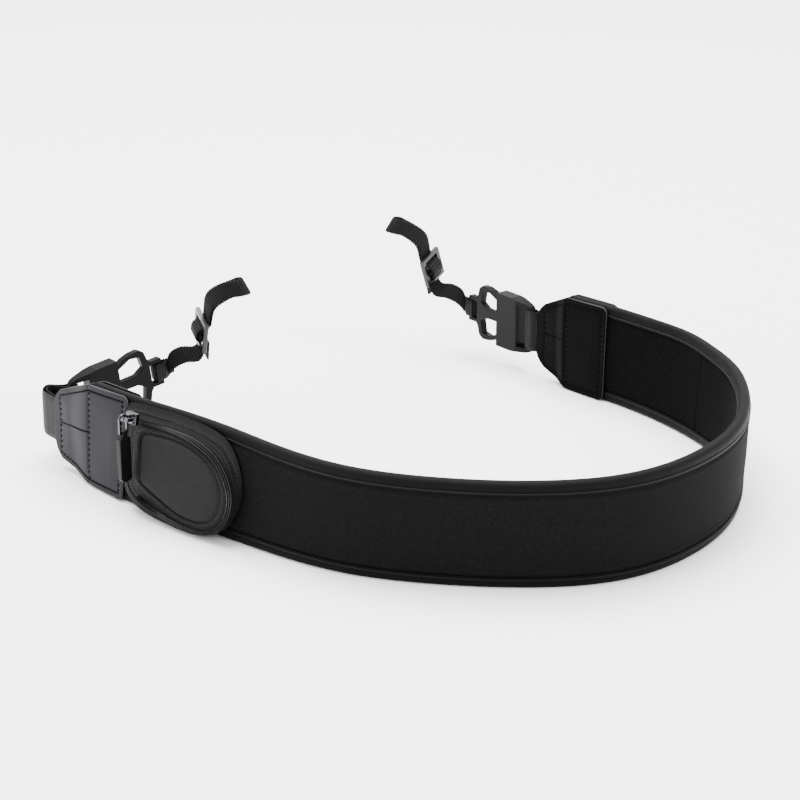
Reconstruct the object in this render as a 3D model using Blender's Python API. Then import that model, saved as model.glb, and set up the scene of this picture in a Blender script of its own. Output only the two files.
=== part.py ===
"""Padded camera neck strap with a zipped card pocket and two quick-release buckles.

Metres, +Z up, standing on its lower edge. The strap runs from its left end round the front to
the far right end, and the neck goes in the open space that it bends round. Every piece on the
strap is placed by three lengths: along it, out from its middle surface, and up from its lower
edge.
"""

import math

import bmesh
import bpy
import numpy as np
from mathutils import Matrix, Vector
from mathutils.geometry import tessellate_polygon

MM = 0.001
GAP = 0.3 * MM  # left between pieces that touch

# Strap
STRAP_LENGTH = 711 * MM  # from one leather end to the other
STRAP_WIDTH = 58 * MM
BAND_THICKNESS = 6.6 * MM
BAND_STEP = 10 * MM  # between the sections of the band
EASE = 14 * MM  # the bends and leans are smoothed over this length to each side

# How the strap lies: share of its length, heading in degrees from +X
HEADINGS = (
    (0.000, -51),
    (0.097, -51),
    (0.127, -40),
    (0.241, -39),
    (0.286, -31),
    (0.336, -15),
    (0.385, -8),
    (0.434, 0),
    (0.469, 9),
    (0.504, 27),
    (0.543, 44),
    (0.593, 57),
    (0.642, 71),
    (0.721, 88),
    (0.800, 115),
    (0.860, 123),
    (0.910, 131),
    (1.000, 134),
)
# How far its top leans outward: share of its length, degrees
LEANS = (
    (0.00, 0),
    (0.04, -1),
    (0.09, -6),
    (0.13, -11),
    (0.18, -9),
    (0.24, -2),
    (0.30, 3),
    (0.35, 5.5),
    (0.42, 6.5),
    (0.52, 5.5),
    (0.62, 4.5),
    (0.72, 1),
    (0.79, 2),
    (0.84, 7),
    (0.88, 3),
    (0.92, 2),
    (0.96, 0),
    (1.00, 0),
)

# Band
BINDING_WALL = 1.0 * MM
BINDING_FACE = 6.5 * MM  # how far the binding reaches down the face
FOOT_WIDTH = 1.8 * MM  # flat that the floor presses on the lower edge
PANEL_CROWN = 0.3 * MM  # the panel's middle stands this much past the binding
PANEL_ROLL = 2.5 * MM  # width of the panel's rounded edge beside the binding

# Leather tabs: how long each is where the band is full, how long its taper is, how far the
# middle of its end sits below the middle of the band
TAB_STRAIGHT = 31 * MM
TABS = {
    "left": dict(taper=33 * MM, drop=2.7 * MM),
    "right": dict(taper=22 * MM, drop=0.3 * MM),
}
TAB_END_HEIGHT = 40 * MM
TAB_CORNER = 4 * MM
TAB_END_BULGE = 3 * MM
LEATHER = 1.4 * MM
# Outline of the tab's bulging end: share of the bulge, share of the end's height
TAB_END = ((0.0, 0.45), (0.35, 0.70), (0.7, 0.88), (1.0, 1.0))

# Buckle webbing
WEBBING_WIDTH = 25 * MM
WEBBING = 1.4 * MM
WEBBING_IN_TAB = 12 * MM
LOOP_STEPS = 18
BAR_APPROACH = 4 * MM  # over which the webbing's two layers part before the bar

# Buckle, along its own axis from the webbing bar
BAR_LENGTH = 4.5 * MM
BAR_THICKNESS = 3.0 * MM
WINDOW_LENGTH = 7.5 * MM
SOCKET_START = 13 * MM
FEMALE_LENGTH = 31 * MM
FEMALE_WIDTH = 34 * MM
FEMALE_THICKNESS = 8.4 * MM
RAIL = 2.1 * MM
MOUTH_DEPTH = 12 * MM
MOUTH_WALL = 1.5 * MM
MALE_BASE_END = 60 * MM
MALE_BASE_WIDTH = 16 * MM
MALE_THICKNESS = 4.4 * MM
TONGUE_WIDTH = 5 * MM
PRONG = 2.8 * MM
PRONG_REACH = 34.5 * MM  # across both prongs at their widest
SLOT_LENGTH = 4.2 * MM
MALE_BAR = 3.5 * MM
# Female half's outline: share of its length, share of its width
FEMALE_OUTLINE = ((0.0, 0.72), (0.06, 0.84), (0.16, 0.90), (0.40, 0.96), (0.56, 1.0), (1.0, 1.0))

# Where each buckle sits past its leather end: how far along the tab's direction, how far
# inward, turned inward and tilted up by how many degrees, the height of its bar, and how far
# its webbing bows out before it comes back to the bar
BUCKLES = {
    "left": dict(along=12.4, inward=14.4, turn=90.7, tilt=8.4, height=27.5, reach=9.5),
    "right": dict(along=5.0, inward=0.8, turn=-6.0, tilt=0.0, height=29.0, reach=2.0),
}

# Webbing to the camera's lug
LUG_WIDTH = 10.5 * MM
LUG_THICKNESS = 1.2 * MM
LUG_LAP = 9 * MM  # how far its sewn end runs back past the buckle's bar
LUG_EYE = 4.2 * MM  # radius of the open bend that the lug goes through
LUG_TAIL = 9 * MM
# The route from the end of the buckle to the slider and from there to the lug: along the
# buckle, inward and up in millimetres, then the direction of the webbing's width
LUG_TO_SLIDER = (
    (5.4, 4.9, 6.0, -0.10, -0.25, 0.92),
    (9.2, 10.0, 9.7, -0.05, -0.45, 0.84),
    (15.3, 14.3, 10.4, 0.10, -0.66, 0.62),
)
LUG_SLIDER_PLACE = (15.4, 19.2, 25.4, 0.21, -0.78, 0.46)
LUG_SLIDER_RUN = (-0.12, 0.36, 0.90)
LUG_TO_EYE = (
    (17.4, 26.0, 44.0, 0.05, -0.72, 0.62),
    (22.5, 32.4, 50.0, -0.20, -0.56, 0.76),
    (27.5, 38.0, 52.0, -0.30, -0.40, 0.85),
)

# Three-bar slider
SLIDER_WIDTH = 17.5 * MM
SLIDER_LENGTH = 20 * MM
SLIDER_THICKNESS = 2.6 * MM
SLIDER_BAR = 2.6 * MM

# Pocket, on the outer face
POCKET_START = 69 * MM  # from the left leather end
POCKET_LENGTH = 86 * MM
POCKET_HEIGHT = 56 * MM
POCKET_BOTTOM = 0.8 * MM
POCKET_DEPTH = 8.5 * MM  # from the band's face to the panel's rim
POCKET_WALL = 1.2 * MM
POCKET_SAG = 3.0 * MM
# Room that the wall takes at each side of the panel
WALL_RUN_TAB = 15.5 * MM
WALL_RUN_FAR = 4.0 * MM
WALL_RUN_LOW = 4.2 * MM
WALL_RUN_HIGH = 9.3 * MM
PANEL_WALL = 2.5 * MM
PANEL_DOME = 1.5 * MM
POCKET_POINTS = 44
# Wall from its foot to the panel: share of the way in, share of the depth, share of the sag
POCKET_SECTION = ((0.0, 0.0, 0.0), (0.06, 0.42, 0.8), (0.30, 0.74, 1.0), (0.65, 0.93, 0.6), (1.0, 1.0, 0.0))
# Outlines from the top left corner round to the left: share of the length, share of the height
POCKET_OUTLINE = (
    (0.00, 0.97),
    (0.30, 1.00),
    (0.60, 0.99),
    (0.80, 0.95),
    (0.91, 0.85),
    (0.98, 0.68),
    (1.00, 0.50),
    (0.97, 0.32),
    (0.90, 0.16),
    (0.78, 0.05),
    (0.60, 0.00),
    (0.35, 0.01),
    (0.15, 0.06),
    (0.03, 0.18),
    (0.00, 0.40),
    (0.00, 0.70),
)
PANEL_OUTLINE = (
    (0.01, 0.94),
    (0.20, 0.99),
    (0.40, 1.00),
    (0.60, 0.97),
    (0.80, 0.88),
    (0.93, 0.74),
    (1.00, 0.54),
    (0.99, 0.34),
    (0.92, 0.15),
    (0.80, 0.03),
    (0.66, 0.00),
    (0.50, 0.02),
    (0.32, 0.10),
    (0.13, 0.21),
    (0.02, 0.31),
    (0.00, 0.60),
)

# Zip
COIL_WIDTH = 3.0 * MM
COIL_HEIGHT = 1.3 * MM
COIL_AT = 0.64  # share of the way from the wall's foot to the panel
COIL_FROM = 0.03  # shares of the way round the pocket
COIL_TO = 0.80
COIL_STEPS = 48
ZIP_SLIDER_BACK = 3.2 * MM  # how far the slider sits past the coil's start, and above it
ZIP_SLIDER_RISE = 2.4 * MM
ZIP_SLIDER_LENGTH = 8 * MM
ZIP_SLIDER_WIDTH = 6 * MM
ZIP_SLIDER_HEIGHT = 2.6 * MM
BAIL_WIDTH = 2.0 * MM
BAIL_THICKNESS = 1.2 * MM
BAIL_CLEAR = 4.6 * MM  # under the bail's bar
LINK_WIRE = 1.2 * MM
LINK_INNER = 3.6 * MM
LINK_LENGTH = 8.5 * MM  # from the bail's bar to the wire's far end
PULL_WIDTH = 7 * MM
PULL_LENGTH = 25 * MM
PULL_THICKNESS = 3.0 * MM
PULL_EYE_WALL = 0.7 * MM


def clear_scene():
    """Empties the file of objects."""
    for old in list(bpy.data.objects):
        bpy.data.objects.remove(old, do_unlink=True)


def material(name, colour, roughness, metallic=0.0):
    """A plain Principled material."""
    made = bpy.data.materials.new(name)
    made.use_nodes = True
    shader = made.node_tree.nodes["Principled BSDF"]
    shader.inputs["Base Color"].default_value = (*colour, 1.0)
    shader.inputs["Roughness"].default_value = roughness
    shader.inputs["Metallic"].default_value = metallic
    made.diffuse_color = (*colour, 1.0)
    return made


def solid(name, points, faces, finish, parent, smooth=None):
    """One named object from points and faces, its faces turned outwards."""
    mesh = bpy.data.meshes.new(name)
    mesh.from_pydata([tuple(p) for p in points], [], [tuple(f) for f in faces])
    built = bmesh.new()
    built.from_mesh(mesh)
    bmesh.ops.recalc_face_normals(built, faces=built.faces)
    built.to_mesh(mesh)
    built.free()
    mesh.materials.append(finish)
    if smooth is not None:
        mesh.shade_smooth()
        mesh.set_sharp_from_angle(angle=math.radians(smooth))
    made = bpy.data.objects.new(name, mesh)
    bpy.context.collection.objects.link(made)
    made.parent = parent
    return made


def grid_faces(rows, columns, closed):
    """Quads between rows of a closed loop of columns, and between the last row and the first."""
    count = rows if closed else rows - 1
    faces = []
    for r in range(count):
        for c in range(columns):
            here = r * columns
            there = (r + 1) % rows * columns
            step = (c + 1) % columns
            faces.append((here + c, here + step, there + step, there + c))
    return faces


def swept(name, sections, finish, parent, closed=False, smooth=40):
    """A solid through a row of sections, each a closed loop of as many points."""
    rows, columns = sections.shape[:2]
    faces = grid_faces(rows, columns, closed)
    if not closed:
        last = (rows - 1) * columns
        faces.append(tuple(range(columns))[::-1])
        faces.append(tuple(last + c for c in range(columns)))
    return solid(name, sections.reshape(-1, 3), faces, finish, parent, smooth)


def prism(name, outline, holes, thickness, finish, parent, smooth=None):
    """A flat plate in the local XZ plane with its thickness along Y."""
    loops = [outline] + list(holes)
    flat = [[Vector((x, 0.0, z)) for x, z in loop] for loop in loops]
    triangles = tessellate_polygon(flat)
    points = [p for loop in flat for p in loop]
    count = len(points)
    half = Vector((0.0, thickness / 2, 0.0))
    solid_points = [p - half for p in points] + [p + half for p in points]
    faces = [tuple(t) for t in triangles]
    faces += [tuple(i + count for i in reversed(t)) for t in triangles]
    start = 0
    for loop in flat:
        size = len(loop)
        for i in range(size):
            a = start + i
            b = start + (i + 1) % size
            faces.append((a, b, b + count, a + count))
        start += size
    return solid(name, solid_points, faces, finish, parent, smooth)


def box(name, low, high, finish, parent):
    """A box between two corners."""
    points = [(x, y, z) for z in (low[2], high[2]) for y in (low[1], high[1]) for x in (low[0], high[0])]
    faces = [(0, 1, 3, 2), (4, 5, 7, 6), (0, 1, 5, 4), (2, 3, 7, 6), (0, 2, 6, 4), (1, 3, 7, 5)]
    return solid(name, points, faces, finish, parent)


def combine(target, tool, operation):
    """Joins a tool to a target, or cuts it out, and leaves the tool as a hidden guide."""
    tool.hide_render = True
    tool.display_type = "WIRE"
    step = target.modifiers.new(tool.name, "BOOLEAN")
    step.operation = operation
    step.solver = "EXACT"
    step.object = tool


# The strap's course over the floor


def eased(table, at):
    """A table's value along the strap, averaged over a short length to each side."""
    rows = np.array(table, float)
    around = np.linspace(-1.0, 1.0, 9) * EASE
    places = (np.asarray(at, float)[..., None] + around) / STRAP_LENGTH
    return np.interp(places, rows[:, 0], rows[:, 1]).mean(axis=-1)


COURSE_STEPS = 1400
course_at = np.linspace(0.0, STRAP_LENGTH, COURSE_STEPS + 1)
course_heading = np.radians(eased(HEADINGS, course_at))
course_middle = (course_heading[1:] + course_heading[:-1]) / 2
course_step = STRAP_LENGTH / COURSE_STEPS
course_x = np.concatenate([[0.0], np.cumsum(np.cos(course_middle)) * course_step])
course_y = np.concatenate([[0.0], np.cumsum(np.sin(course_middle)) * course_step])


def frame(at):
    """The strap's foot, direction, outward face direction and upward direction at a length."""
    at = np.asarray(at, float)
    inside = np.clip(at, 0.0, STRAP_LENGTH)
    past = at - inside
    heading = np.interp(inside, course_at, course_heading)
    lean = np.radians(eased(LEANS, inside))
    zero = np.zeros_like(heading)
    ahead = np.stack([np.cos(heading), np.sin(heading), zero], -1)
    outward = np.stack([np.sin(heading), -np.cos(heading), zero], -1)
    upright = np.stack([zero, zero, zero + 1.0], -1)
    x = np.interp(inside, course_at, course_x)
    y = np.interp(inside, course_at, course_y)
    foot = np.stack([x, y, zero], -1) + past[..., None] * ahead
    up = np.cos(lean)[..., None] * upright + np.sin(lean)[..., None] * outward
    face = np.cos(lean)[..., None] * outward - np.sin(lean)[..., None] * upright
    return foot, ahead, face, up


FLOOR_CLEARANCE = 0.4 * MM


def on_strap(along, out, up):
    """Points of the strap from lengths along it, out from its middle and up from its edge."""
    along, out, up = np.broadcast_arrays(along, out, up)
    foot, _, face, rise = frame(along)
    points = foot + out[..., None] * face + up[..., None] * rise
    points[..., 2] = np.where(up == 0.0, 0.0, points[..., 2])
    return points


def above_floor(along, out, up):
    """Points of the strap, lifted where they would reach below the floor."""
    points = on_strap(along, out, up)
    points[..., 2] = np.maximum(points[..., 2], FLOOR_CLEARANCE)
    return points


HALF_BAND = BAND_THICKNESS / 2
BAND_START = TABS["left"]["taper"] + TAB_END_BULGE
BAND_END = STRAP_LENGTH - TABS["right"]["taper"] - TAB_END_BULGE


def band_stations():
    """Lengths along the strap where the band has a section."""
    count = max(8, round((BAND_END - BAND_START) / BAND_STEP))
    return np.linspace(BAND_START, BAND_END, count + 1)


def band_piece(name, section, finish, parent):
    """A piece of the band: one section of out and up carried along the strap."""
    along = band_stations()[:, None]
    section = np.array(section, float)
    points = on_strap(along, section[None, :, 0], section[None, :, 1])
    return swept(name, points, finish, parent)


def panel_section(side):
    """A panel's section: thin under the bindings, full between them, slightly crowned."""
    low = BINDING_WALL + GAP
    edge = BINDING_FACE + GAP
    tucked = HALF_BAND - BINDING_WALL - GAP
    middle = GAP / 2
    crown = HALF_BAND + PANEL_CROWN
    outline = [
        (middle, low),
        (tucked, low + GAP),
        (tucked, edge),
        (HALF_BAND - GAP, edge),
        (crown, edge + PANEL_ROLL),
        (crown, STRAP_WIDTH / 2),
        (crown, STRAP_WIDTH - edge - PANEL_ROLL),
        (HALF_BAND - GAP, STRAP_WIDTH - edge),
        (tucked, STRAP_WIDTH - edge),
        (tucked, STRAP_WIDTH - low - GAP),
        (middle, STRAP_WIDTH - low),
    ]
    return [(side * out, up) for out, up in outline]


def binding_section(top):
    """A binding's section: a strip folded over the band's edge, open towards the panels."""
    inner = HALF_BAND - BINDING_WALL
    outline = [
        (HALF_BAND, BINDING_FACE),
        (HALF_BAND, HALF_BAND),
        (HALF_BAND * 0.72, HALF_BAND * 0.30),
        (FOOT_WIDTH / 2, 0.0),
        (-FOOT_WIDTH / 2, 0.0),
        (-HALF_BAND * 0.72, HALF_BAND * 0.30),
        (-HALF_BAND, HALF_BAND),
        (-HALF_BAND, BINDING_FACE),
        (-inner, BINDING_FACE),
        (-inner, BINDING_WALL + GAP),
        (-FOOT_WIDTH / 2, BINDING_WALL),
        (FOOT_WIDTH / 2, BINDING_WALL),
        (inner, BINDING_WALL + GAP),
        (inner, BINDING_FACE),
    ]
    if top:
        return [(out, STRAP_WIDTH - up) for out, up in outline]
    return outline


def make_band(finishes, root):
    """Both panels and both bindings."""
    band_piece("outer_panel", panel_section(1), finishes["foam"], root)
    band_piece("lining_panel", panel_section(-1), finishes["lining"], root)
    band_piece("top_binding", binding_section(True), finishes["binding"], root)
    band_piece("bottom_binding", binding_section(False), finishes["binding"], root)


# Leather tabs


def tab_outline(end):
    """The tab's sections: length from its end, then its lower and upper edge."""
    taper = TABS[end]["taper"]
    drop = TABS[end]["drop"]
    middle = STRAP_WIDTH / 2
    full = middle - GAP
    rows = []
    for share, height in TAB_END:
        rows.append((share * TAB_END_BULGE, height * TAB_END_HEIGHT / 2, drop))
    for share in (0.33, 0.66, 1.0):
        half = TAB_END_HEIGHT / 2 + (full - TAB_END_HEIGHT / 2) * share
        rows.append((TAB_END_BULGE + share * taper, half, drop * (1 - share)))
    straight = TAB_END_BULGE + taper + TAB_STRAIGHT - TAB_CORNER
    step = band_stations()[1] - BAND_START
    for k in range(1, math.ceil((TAB_STRAIGHT - TAB_CORNER) / step)):
        rows.append((TAB_END_BULGE + taper + k * step, full, 0.0))
    for angle in (0, 30, 60, 90):
        turn = math.radians(angle)
        half = full - TAB_CORNER * (1 - math.cos(turn))
        rows.append((straight + TAB_CORNER * math.sin(turn), half, 0.0))
    rows = np.array(rows)
    return rows[:, 0], middle - rows[:, 1] - rows[:, 2], middle + rows[:, 1] - rows[:, 2]


def tab_rise(end, length):
    """How far a leather's inner side stands from the middle: webbing at its end, band after it."""
    at_end = WEBBING + 2 * GAP
    at_band = HALF_BAND + PANEL_CROWN + 2 * GAP
    start = WEBBING_IN_TAB + TAB_END_BULGE
    full = TAB_END_BULGE + TABS[end]["taper"] - 1.5 * MM
    return np.interp(length, [start, full], [at_end, at_band])


def make_tabs(finishes, root):
    """Two leathers at each end of the strap."""
    for end in ("left", "right"):
        length, low, high = tab_outline(end)
        inner = tab_rise(end, length)
        along = length if end == "left" else STRAP_LENGTH - length
        for layer, side in (("outer", 1), ("inner", -1)):
            near = side * inner
            far = side * (inner + LEATHER)
            middle = (low + high) / 2
            corners = [(near, low), (far, low), (far, middle), (far, high), (near, high), (near, middle)]
            sections = np.stack([above_floor(along, out, up) for out, up in corners], axis=1)
            swept(f"tab_{layer}_{end}", sections, finishes["leather"], root)


# Ends of the strap: webbing loops and buckles


def end_axes(end):
    """The middle of a leather end, the way out of it, and the way inward from it."""
    at = 0.0 if end == "left" else STRAP_LENGTH
    foot, ahead, face, _ = frame(at)
    out = -ahead if end == "left" else ahead
    return foot, out, -face * np.array([1.0, 1.0, 0.0])


def buckle_axes(end):
    """A buckle's origin at the edge of its bar, then the ways along it, inward and up."""
    foot, out, inward = end_axes(end)
    place = BUCKLES[end]
    turn = math.radians(place["turn"])
    tilt = math.radians(place["tilt"])
    upright = np.array([0.0, 0.0, 1.0])
    origin = foot + (place["along"] * out + place["inward"] * inward + place["height"] * upright) * MM
    level = math.cos(turn) * out + math.sin(turn) * inward
    side = math.cos(turn) * inward - math.sin(turn) * out
    axis = math.cos(tilt) * level + math.sin(tilt) * upright
    up = math.cos(tilt) * upright - math.sin(tilt) * level
    return origin, axis, side, up


def placed(origin, axes):
    """A matrix with its X, Y and Z along three given directions."""
    rows = [[float(axis[i]) for axis in axes] + [float(origin[i])] for i in range(3)]
    return Matrix(rows + [[0.0, 0.0, 0.0, 1.0]])


def buckle_matrix(end):
    """The buckle's place as a matrix: X along it, Z up."""
    origin, axis, _, up = buckle_axes(end)
    return placed(origin, (axis, np.cross(up, axis), up))


def ribbon(name, centres, widths, width, thickness, finish, parent):
    """Webbing of a flat section along a line of centres, its width along given directions."""
    centres = np.array(centres, float)
    widths = np.array(widths, float)
    widths = widths / np.linalg.norm(widths, axis=1)[:, None]
    ahead = np.gradient(centres, axis=0)
    ahead = ahead / np.linalg.norm(ahead, axis=1)[:, None]
    flat = np.cross(ahead, widths)
    flat = flat / np.linalg.norm(flat, axis=1)[:, None]
    corners = []
    for w, t in ((1, 1), (1, -1), (-1, -1), (-1, 1)):
        corners.append(centres + w * width / 2 * widths + t * thickness / 2 * flat)
    return swept(name, np.stack(corners, axis=1), finish, parent)


def bezier(handles, count):
    """Points on a cubic curve between the first and the last of four handles."""
    t = np.linspace(0.0, 1.0, count)[:, None]
    a, b, c, d = handles
    return (1 - t) ** 3 * a + 3 * t * (1 - t) ** 2 * b + 3 * t**2 * (1 - t) * c + t**3 * d


def make_webbing_loop(end, finishes, root):
    """Webbing out of the tab, round the buckle's bar and back into the tab."""
    foot, out, _ = end_axes(end)
    origin, axis, _, up = buckle_axes(end)
    reach = BUCKLES[end]["reach"] * MM
    upright = np.array([0.0, 0.0, 1.0])
    start = foot + (STRAP_WIDTH / 2 - TABS[end]["drop"]) * upright
    curve = bezier((start, start + reach * out, origin - reach * axis, origin), LOOP_STEPS)
    inside = [start - depth * out for depth in (WEBBING_IN_TAB, WEBBING_IN_TAB / 2)]
    line = np.vstack([inside, curve])
    travelled = np.concatenate([[0.0], np.cumsum(np.linalg.norm(np.diff(line, axis=0), axis=1))])
    share = np.clip((travelled - WEBBING_IN_TAB) / (travelled[-1] - WEBBING_IN_TAB), 0.0, 1.0)[:, None]
    widths = upright * (1 - share**4) + up * share**4
    ahead = np.gradient(line, axis=0)
    left = np.cross(widths, ahead)
    left = left / np.linalg.norm(left, axis=1)[:, None]
    half = WEBBING / 2 + GAP
    round_bar = BAR_THICKNESS / 2 + GAP + WEBBING / 2
    near_bar = np.clip(1 - (travelled[-1] - travelled) / BAR_APPROACH, 0.0, 1.0)
    spread = (half + (round_bar - half) * near_bar)[:, None]
    past = BAR_LENGTH + GAP + WEBBING / 2
    wrap = ((0.6 * BAR_LENGTH, 1.0), (BAR_LENGTH + 0.8 * GAP, 0.97), (past, 0.5))
    wrap = wrap + tuple((x, -y) for x, y in reversed(wrap))
    across = np.cross(up, axis)
    turn = [origin + x * axis + y * round_bar * across for x, y in wrap]
    centres = np.vstack([line + spread * left, turn, (line - spread * left)[::-1]])
    widths = np.vstack([widths, np.tile(up, (len(turn), 1)), widths[::-1]])
    ribbon(f"buckle_webbing_{end}", centres, widths, WEBBING_WIDTH, WEBBING, finishes["webbing"], root)


def mirrored(outline):
    """A closed outline from its upper half."""
    return list(outline) + [(x, -z) for x, z in reversed(outline)]


def make_female(end, finishes, root):
    """The buckle's socket: a wedge with a bar, a window for the webbing and a mouth."""
    place = buckle_matrix(end)
    upper = [(x * FEMALE_LENGTH, z * FEMALE_WIDTH / 2) for x, z in FEMALE_OUTLINE]
    body = prism(f"buckle_female_{end}", mirrored(upper), (), FEMALE_THICKNESS, finishes["plastic"], root)
    body.matrix_local = place
    half = FEMALE_THICKNESS / 2
    far = FEMALE_WIDTH
    for sign in (-1, 1):
        wedge = [
            (-far, sign * BAR_THICKNESS / 2),
            (0.0, sign * BAR_THICKNESS / 2),
            (SOCKET_START, sign * half),
            (SOCKET_START, sign * (half + far)),
            (-far, sign * (half + far)),
        ]
        points = [(x, y, z) for z in (-far, far) for x, y in wedge]
        sides = [(i, (i + 1) % 5, (i + 1) % 5 + 5, i + 5) for i in range(5)]
        faces = [tuple(range(5)), tuple(range(9, 4, -1))] + sides
        name = f"wedge_guide_{end}_{'front' if sign > 0 else 'back'}"
        tool = solid(name, points, faces, finishes["plastic"], root)
        tool.matrix_local = place
        combine(body, tool, "DIFFERENCE")
    window = WEBBING_WIDTH / 2 + GAP
    window_end = BAR_LENGTH + WINDOW_LENGTH
    bar = BAR_THICKNESS / 2
    mouth = FEMALE_WIDTH / 2 - RAIL * 2
    slot = half - MOUTH_WALL
    cuts = {
        "window": ((BAR_LENGTH, -far, -window), (window_end, far, window)),
        "saddle_front": ((-far, bar, -window), (window_end, far, window)),
        "saddle_back": ((-far, -far, -window), (window_end, -bar, window)),
        "mouth": ((FEMALE_LENGTH - MOUTH_DEPTH, -slot, -mouth), (FEMALE_LENGTH + far, slot, mouth)),
    }
    for cut, (low, high) in cuts.items():
        tool = box(f"{cut}_guide_{end}", low, high, finishes["plastic"], root)
        tool.matrix_local = place
        combine(body, tool, "DIFFERENCE")


def male_outline():
    """Tongue, prong and base of the pronged half, its upper side from tip to end."""
    tip = FEMALE_LENGTH - MOUTH_DEPTH + 1.5 * MM
    mouth = FEMALE_WIDTH / 2 - RAIL * 2 - GAP
    root = MALE_BASE_END - MALE_BAR - SLOT_LENGTH - 3.0 * MM
    widest = PRONG_REACH / 2
    base = MALE_BASE_WIDTH / 2
    free = FEMALE_LENGTH
    span = root - free
    return [
        (tip, TONGUE_WIDTH / 2),
        (free + 0.65 * span, TONGUE_WIDTH / 2 + 0.5 * MM),
        (free + 0.92 * span, base * 0.75),
        (free + 0.84 * span, widest - PRONG - 1.4 * MM),
        (free + 0.50 * span, widest - PRONG - 0.4 * MM),
        (free - 0.5 * MM, mouth - PRONG),
        (tip + 1.0 * MM, mouth - PRONG),
        (tip + 1.0 * MM, mouth),
        (free, mouth),
        (free + 0.25 * span, widest - 1.8 * MM),
        (free + 0.55 * span, widest - 0.3 * MM),
        (free + 0.85 * span, widest),
        (root + 0.5 * MM, widest - 2.0 * MM),
        (root + 2.0 * MM, base + 2.0 * MM),
        (root + 3.5 * MM, base),
        (MALE_BASE_END, base),
    ]


def make_male(end, finishes, root):
    """The buckle's pronged half with the bar for the thin webbing."""
    slot_end = MALE_BASE_END - MALE_BAR
    slot_half = LUG_WIDTH / 2 + GAP
    slot = [(slot_end - SLOT_LENGTH, -slot_half), (slot_end, -slot_half)]
    slot += [(slot_end, slot_half), (slot_end - SLOT_LENGTH, slot_half)]
    outline = mirrored(male_outline())
    plate = prism(f"buckle_male_{end}", outline, [slot], MALE_THICKNESS, finishes["plastic"], root)
    plate.matrix_local = buckle_matrix(end)


# Webbing to the lug and its slider


def past_buckle(end, row):
    """A point or direction given along the buckle, inward and up, turned into the model's axes."""
    _, axis, side, _ = buckle_axes(end)
    level = np.array([axis[0], axis[1], 0.0])
    level = level / np.linalg.norm(level)
    row = np.array(row, float)
    return row[..., 0:1] * level + row[..., 1:2] * side + row[..., 2:3] * np.array([0.0, 0.0, 1.0])


def slider_axes(end):
    """The middle of a slider, then the ways along the webbing, out of the plate and across it."""
    origin, axis, _, _ = buckle_axes(end)
    base = origin + MALE_BASE_END * axis
    middle = base + past_buckle(end, LUG_SLIDER_PLACE[:3]) * MM
    along = past_buckle(end, LUG_SLIDER_RUN)
    along = along / np.linalg.norm(along)
    across = past_buckle(end, LUG_SLIDER_PLACE[3:])
    across = across - across.dot(along) * along
    across = across / np.linalg.norm(across)
    mirror = -1.0 if end == "left" else 1.0
    return middle, along, mirror * np.cross(across, along), across


def slider_weave():
    """Both layers over the middle bar in the slider's plane: the outer one, then the inner one."""
    bar = SLIDER_BAR / 2
    edge = SLIDER_LENGTH / 2
    open_at = edge - SLIDER_BAR
    half = SLIDER_THICKNESS / 2
    step = LUG_THICKNESS + GAP
    low = half + GAP + LUG_THICKNESS / 2
    outer = [
        (edge, -low - 0.2 * MM),
        (open_at - 0.2 * MM, -low - 0.1 * MM),
        (bar + SLIDER_BAR + 1.1 * MM, 0.0),
        (bar + SLIDER_BAR, low + 0.4 * MM),
        (bar + SLIDER_BAR / 2, low + step),
    ]
    inner = [
        (edge, -low - step - 0.2 * MM),
        (open_at - 0.8 * MM, -low - step),
        (bar + 2.3 * MM, -0.8 * half),
        (bar + 1.1 * MM, low - 0.3 * MM),
    ]
    outer_line = [(-x, y) for x, y in outer] + [(0.0, low + step + 0.3 * MM)] + outer[::-1]
    inner_line = inner + [(0.0, low + 0.1 * MM)] + [(-x, y) for x, y in inner[::-1]]
    return outer_line, inner_line


def curve_through(rows, steps):
    """A smooth line through a few rows of numbers, with some steps between each two."""
    knots = np.array(rows, float)
    knots = np.vstack([2 * knots[0] - knots[1], knots, 2 * knots[-1] - knots[-2]])
    out = []
    for i in range(1, len(knots) - 2):
        before, here, there, after = knots[i - 1 : i + 3]
        for t in np.arange(steps) / steps:
            value = 2 * here + (there - before) * t
            value = value + (2 * before - 5 * here + 4 * there - after) * t**2
            out.append(0.5 * (value + (3 * here - before - 3 * there + after) * t**3))
    return np.array(out + [knots[-2]])


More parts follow.
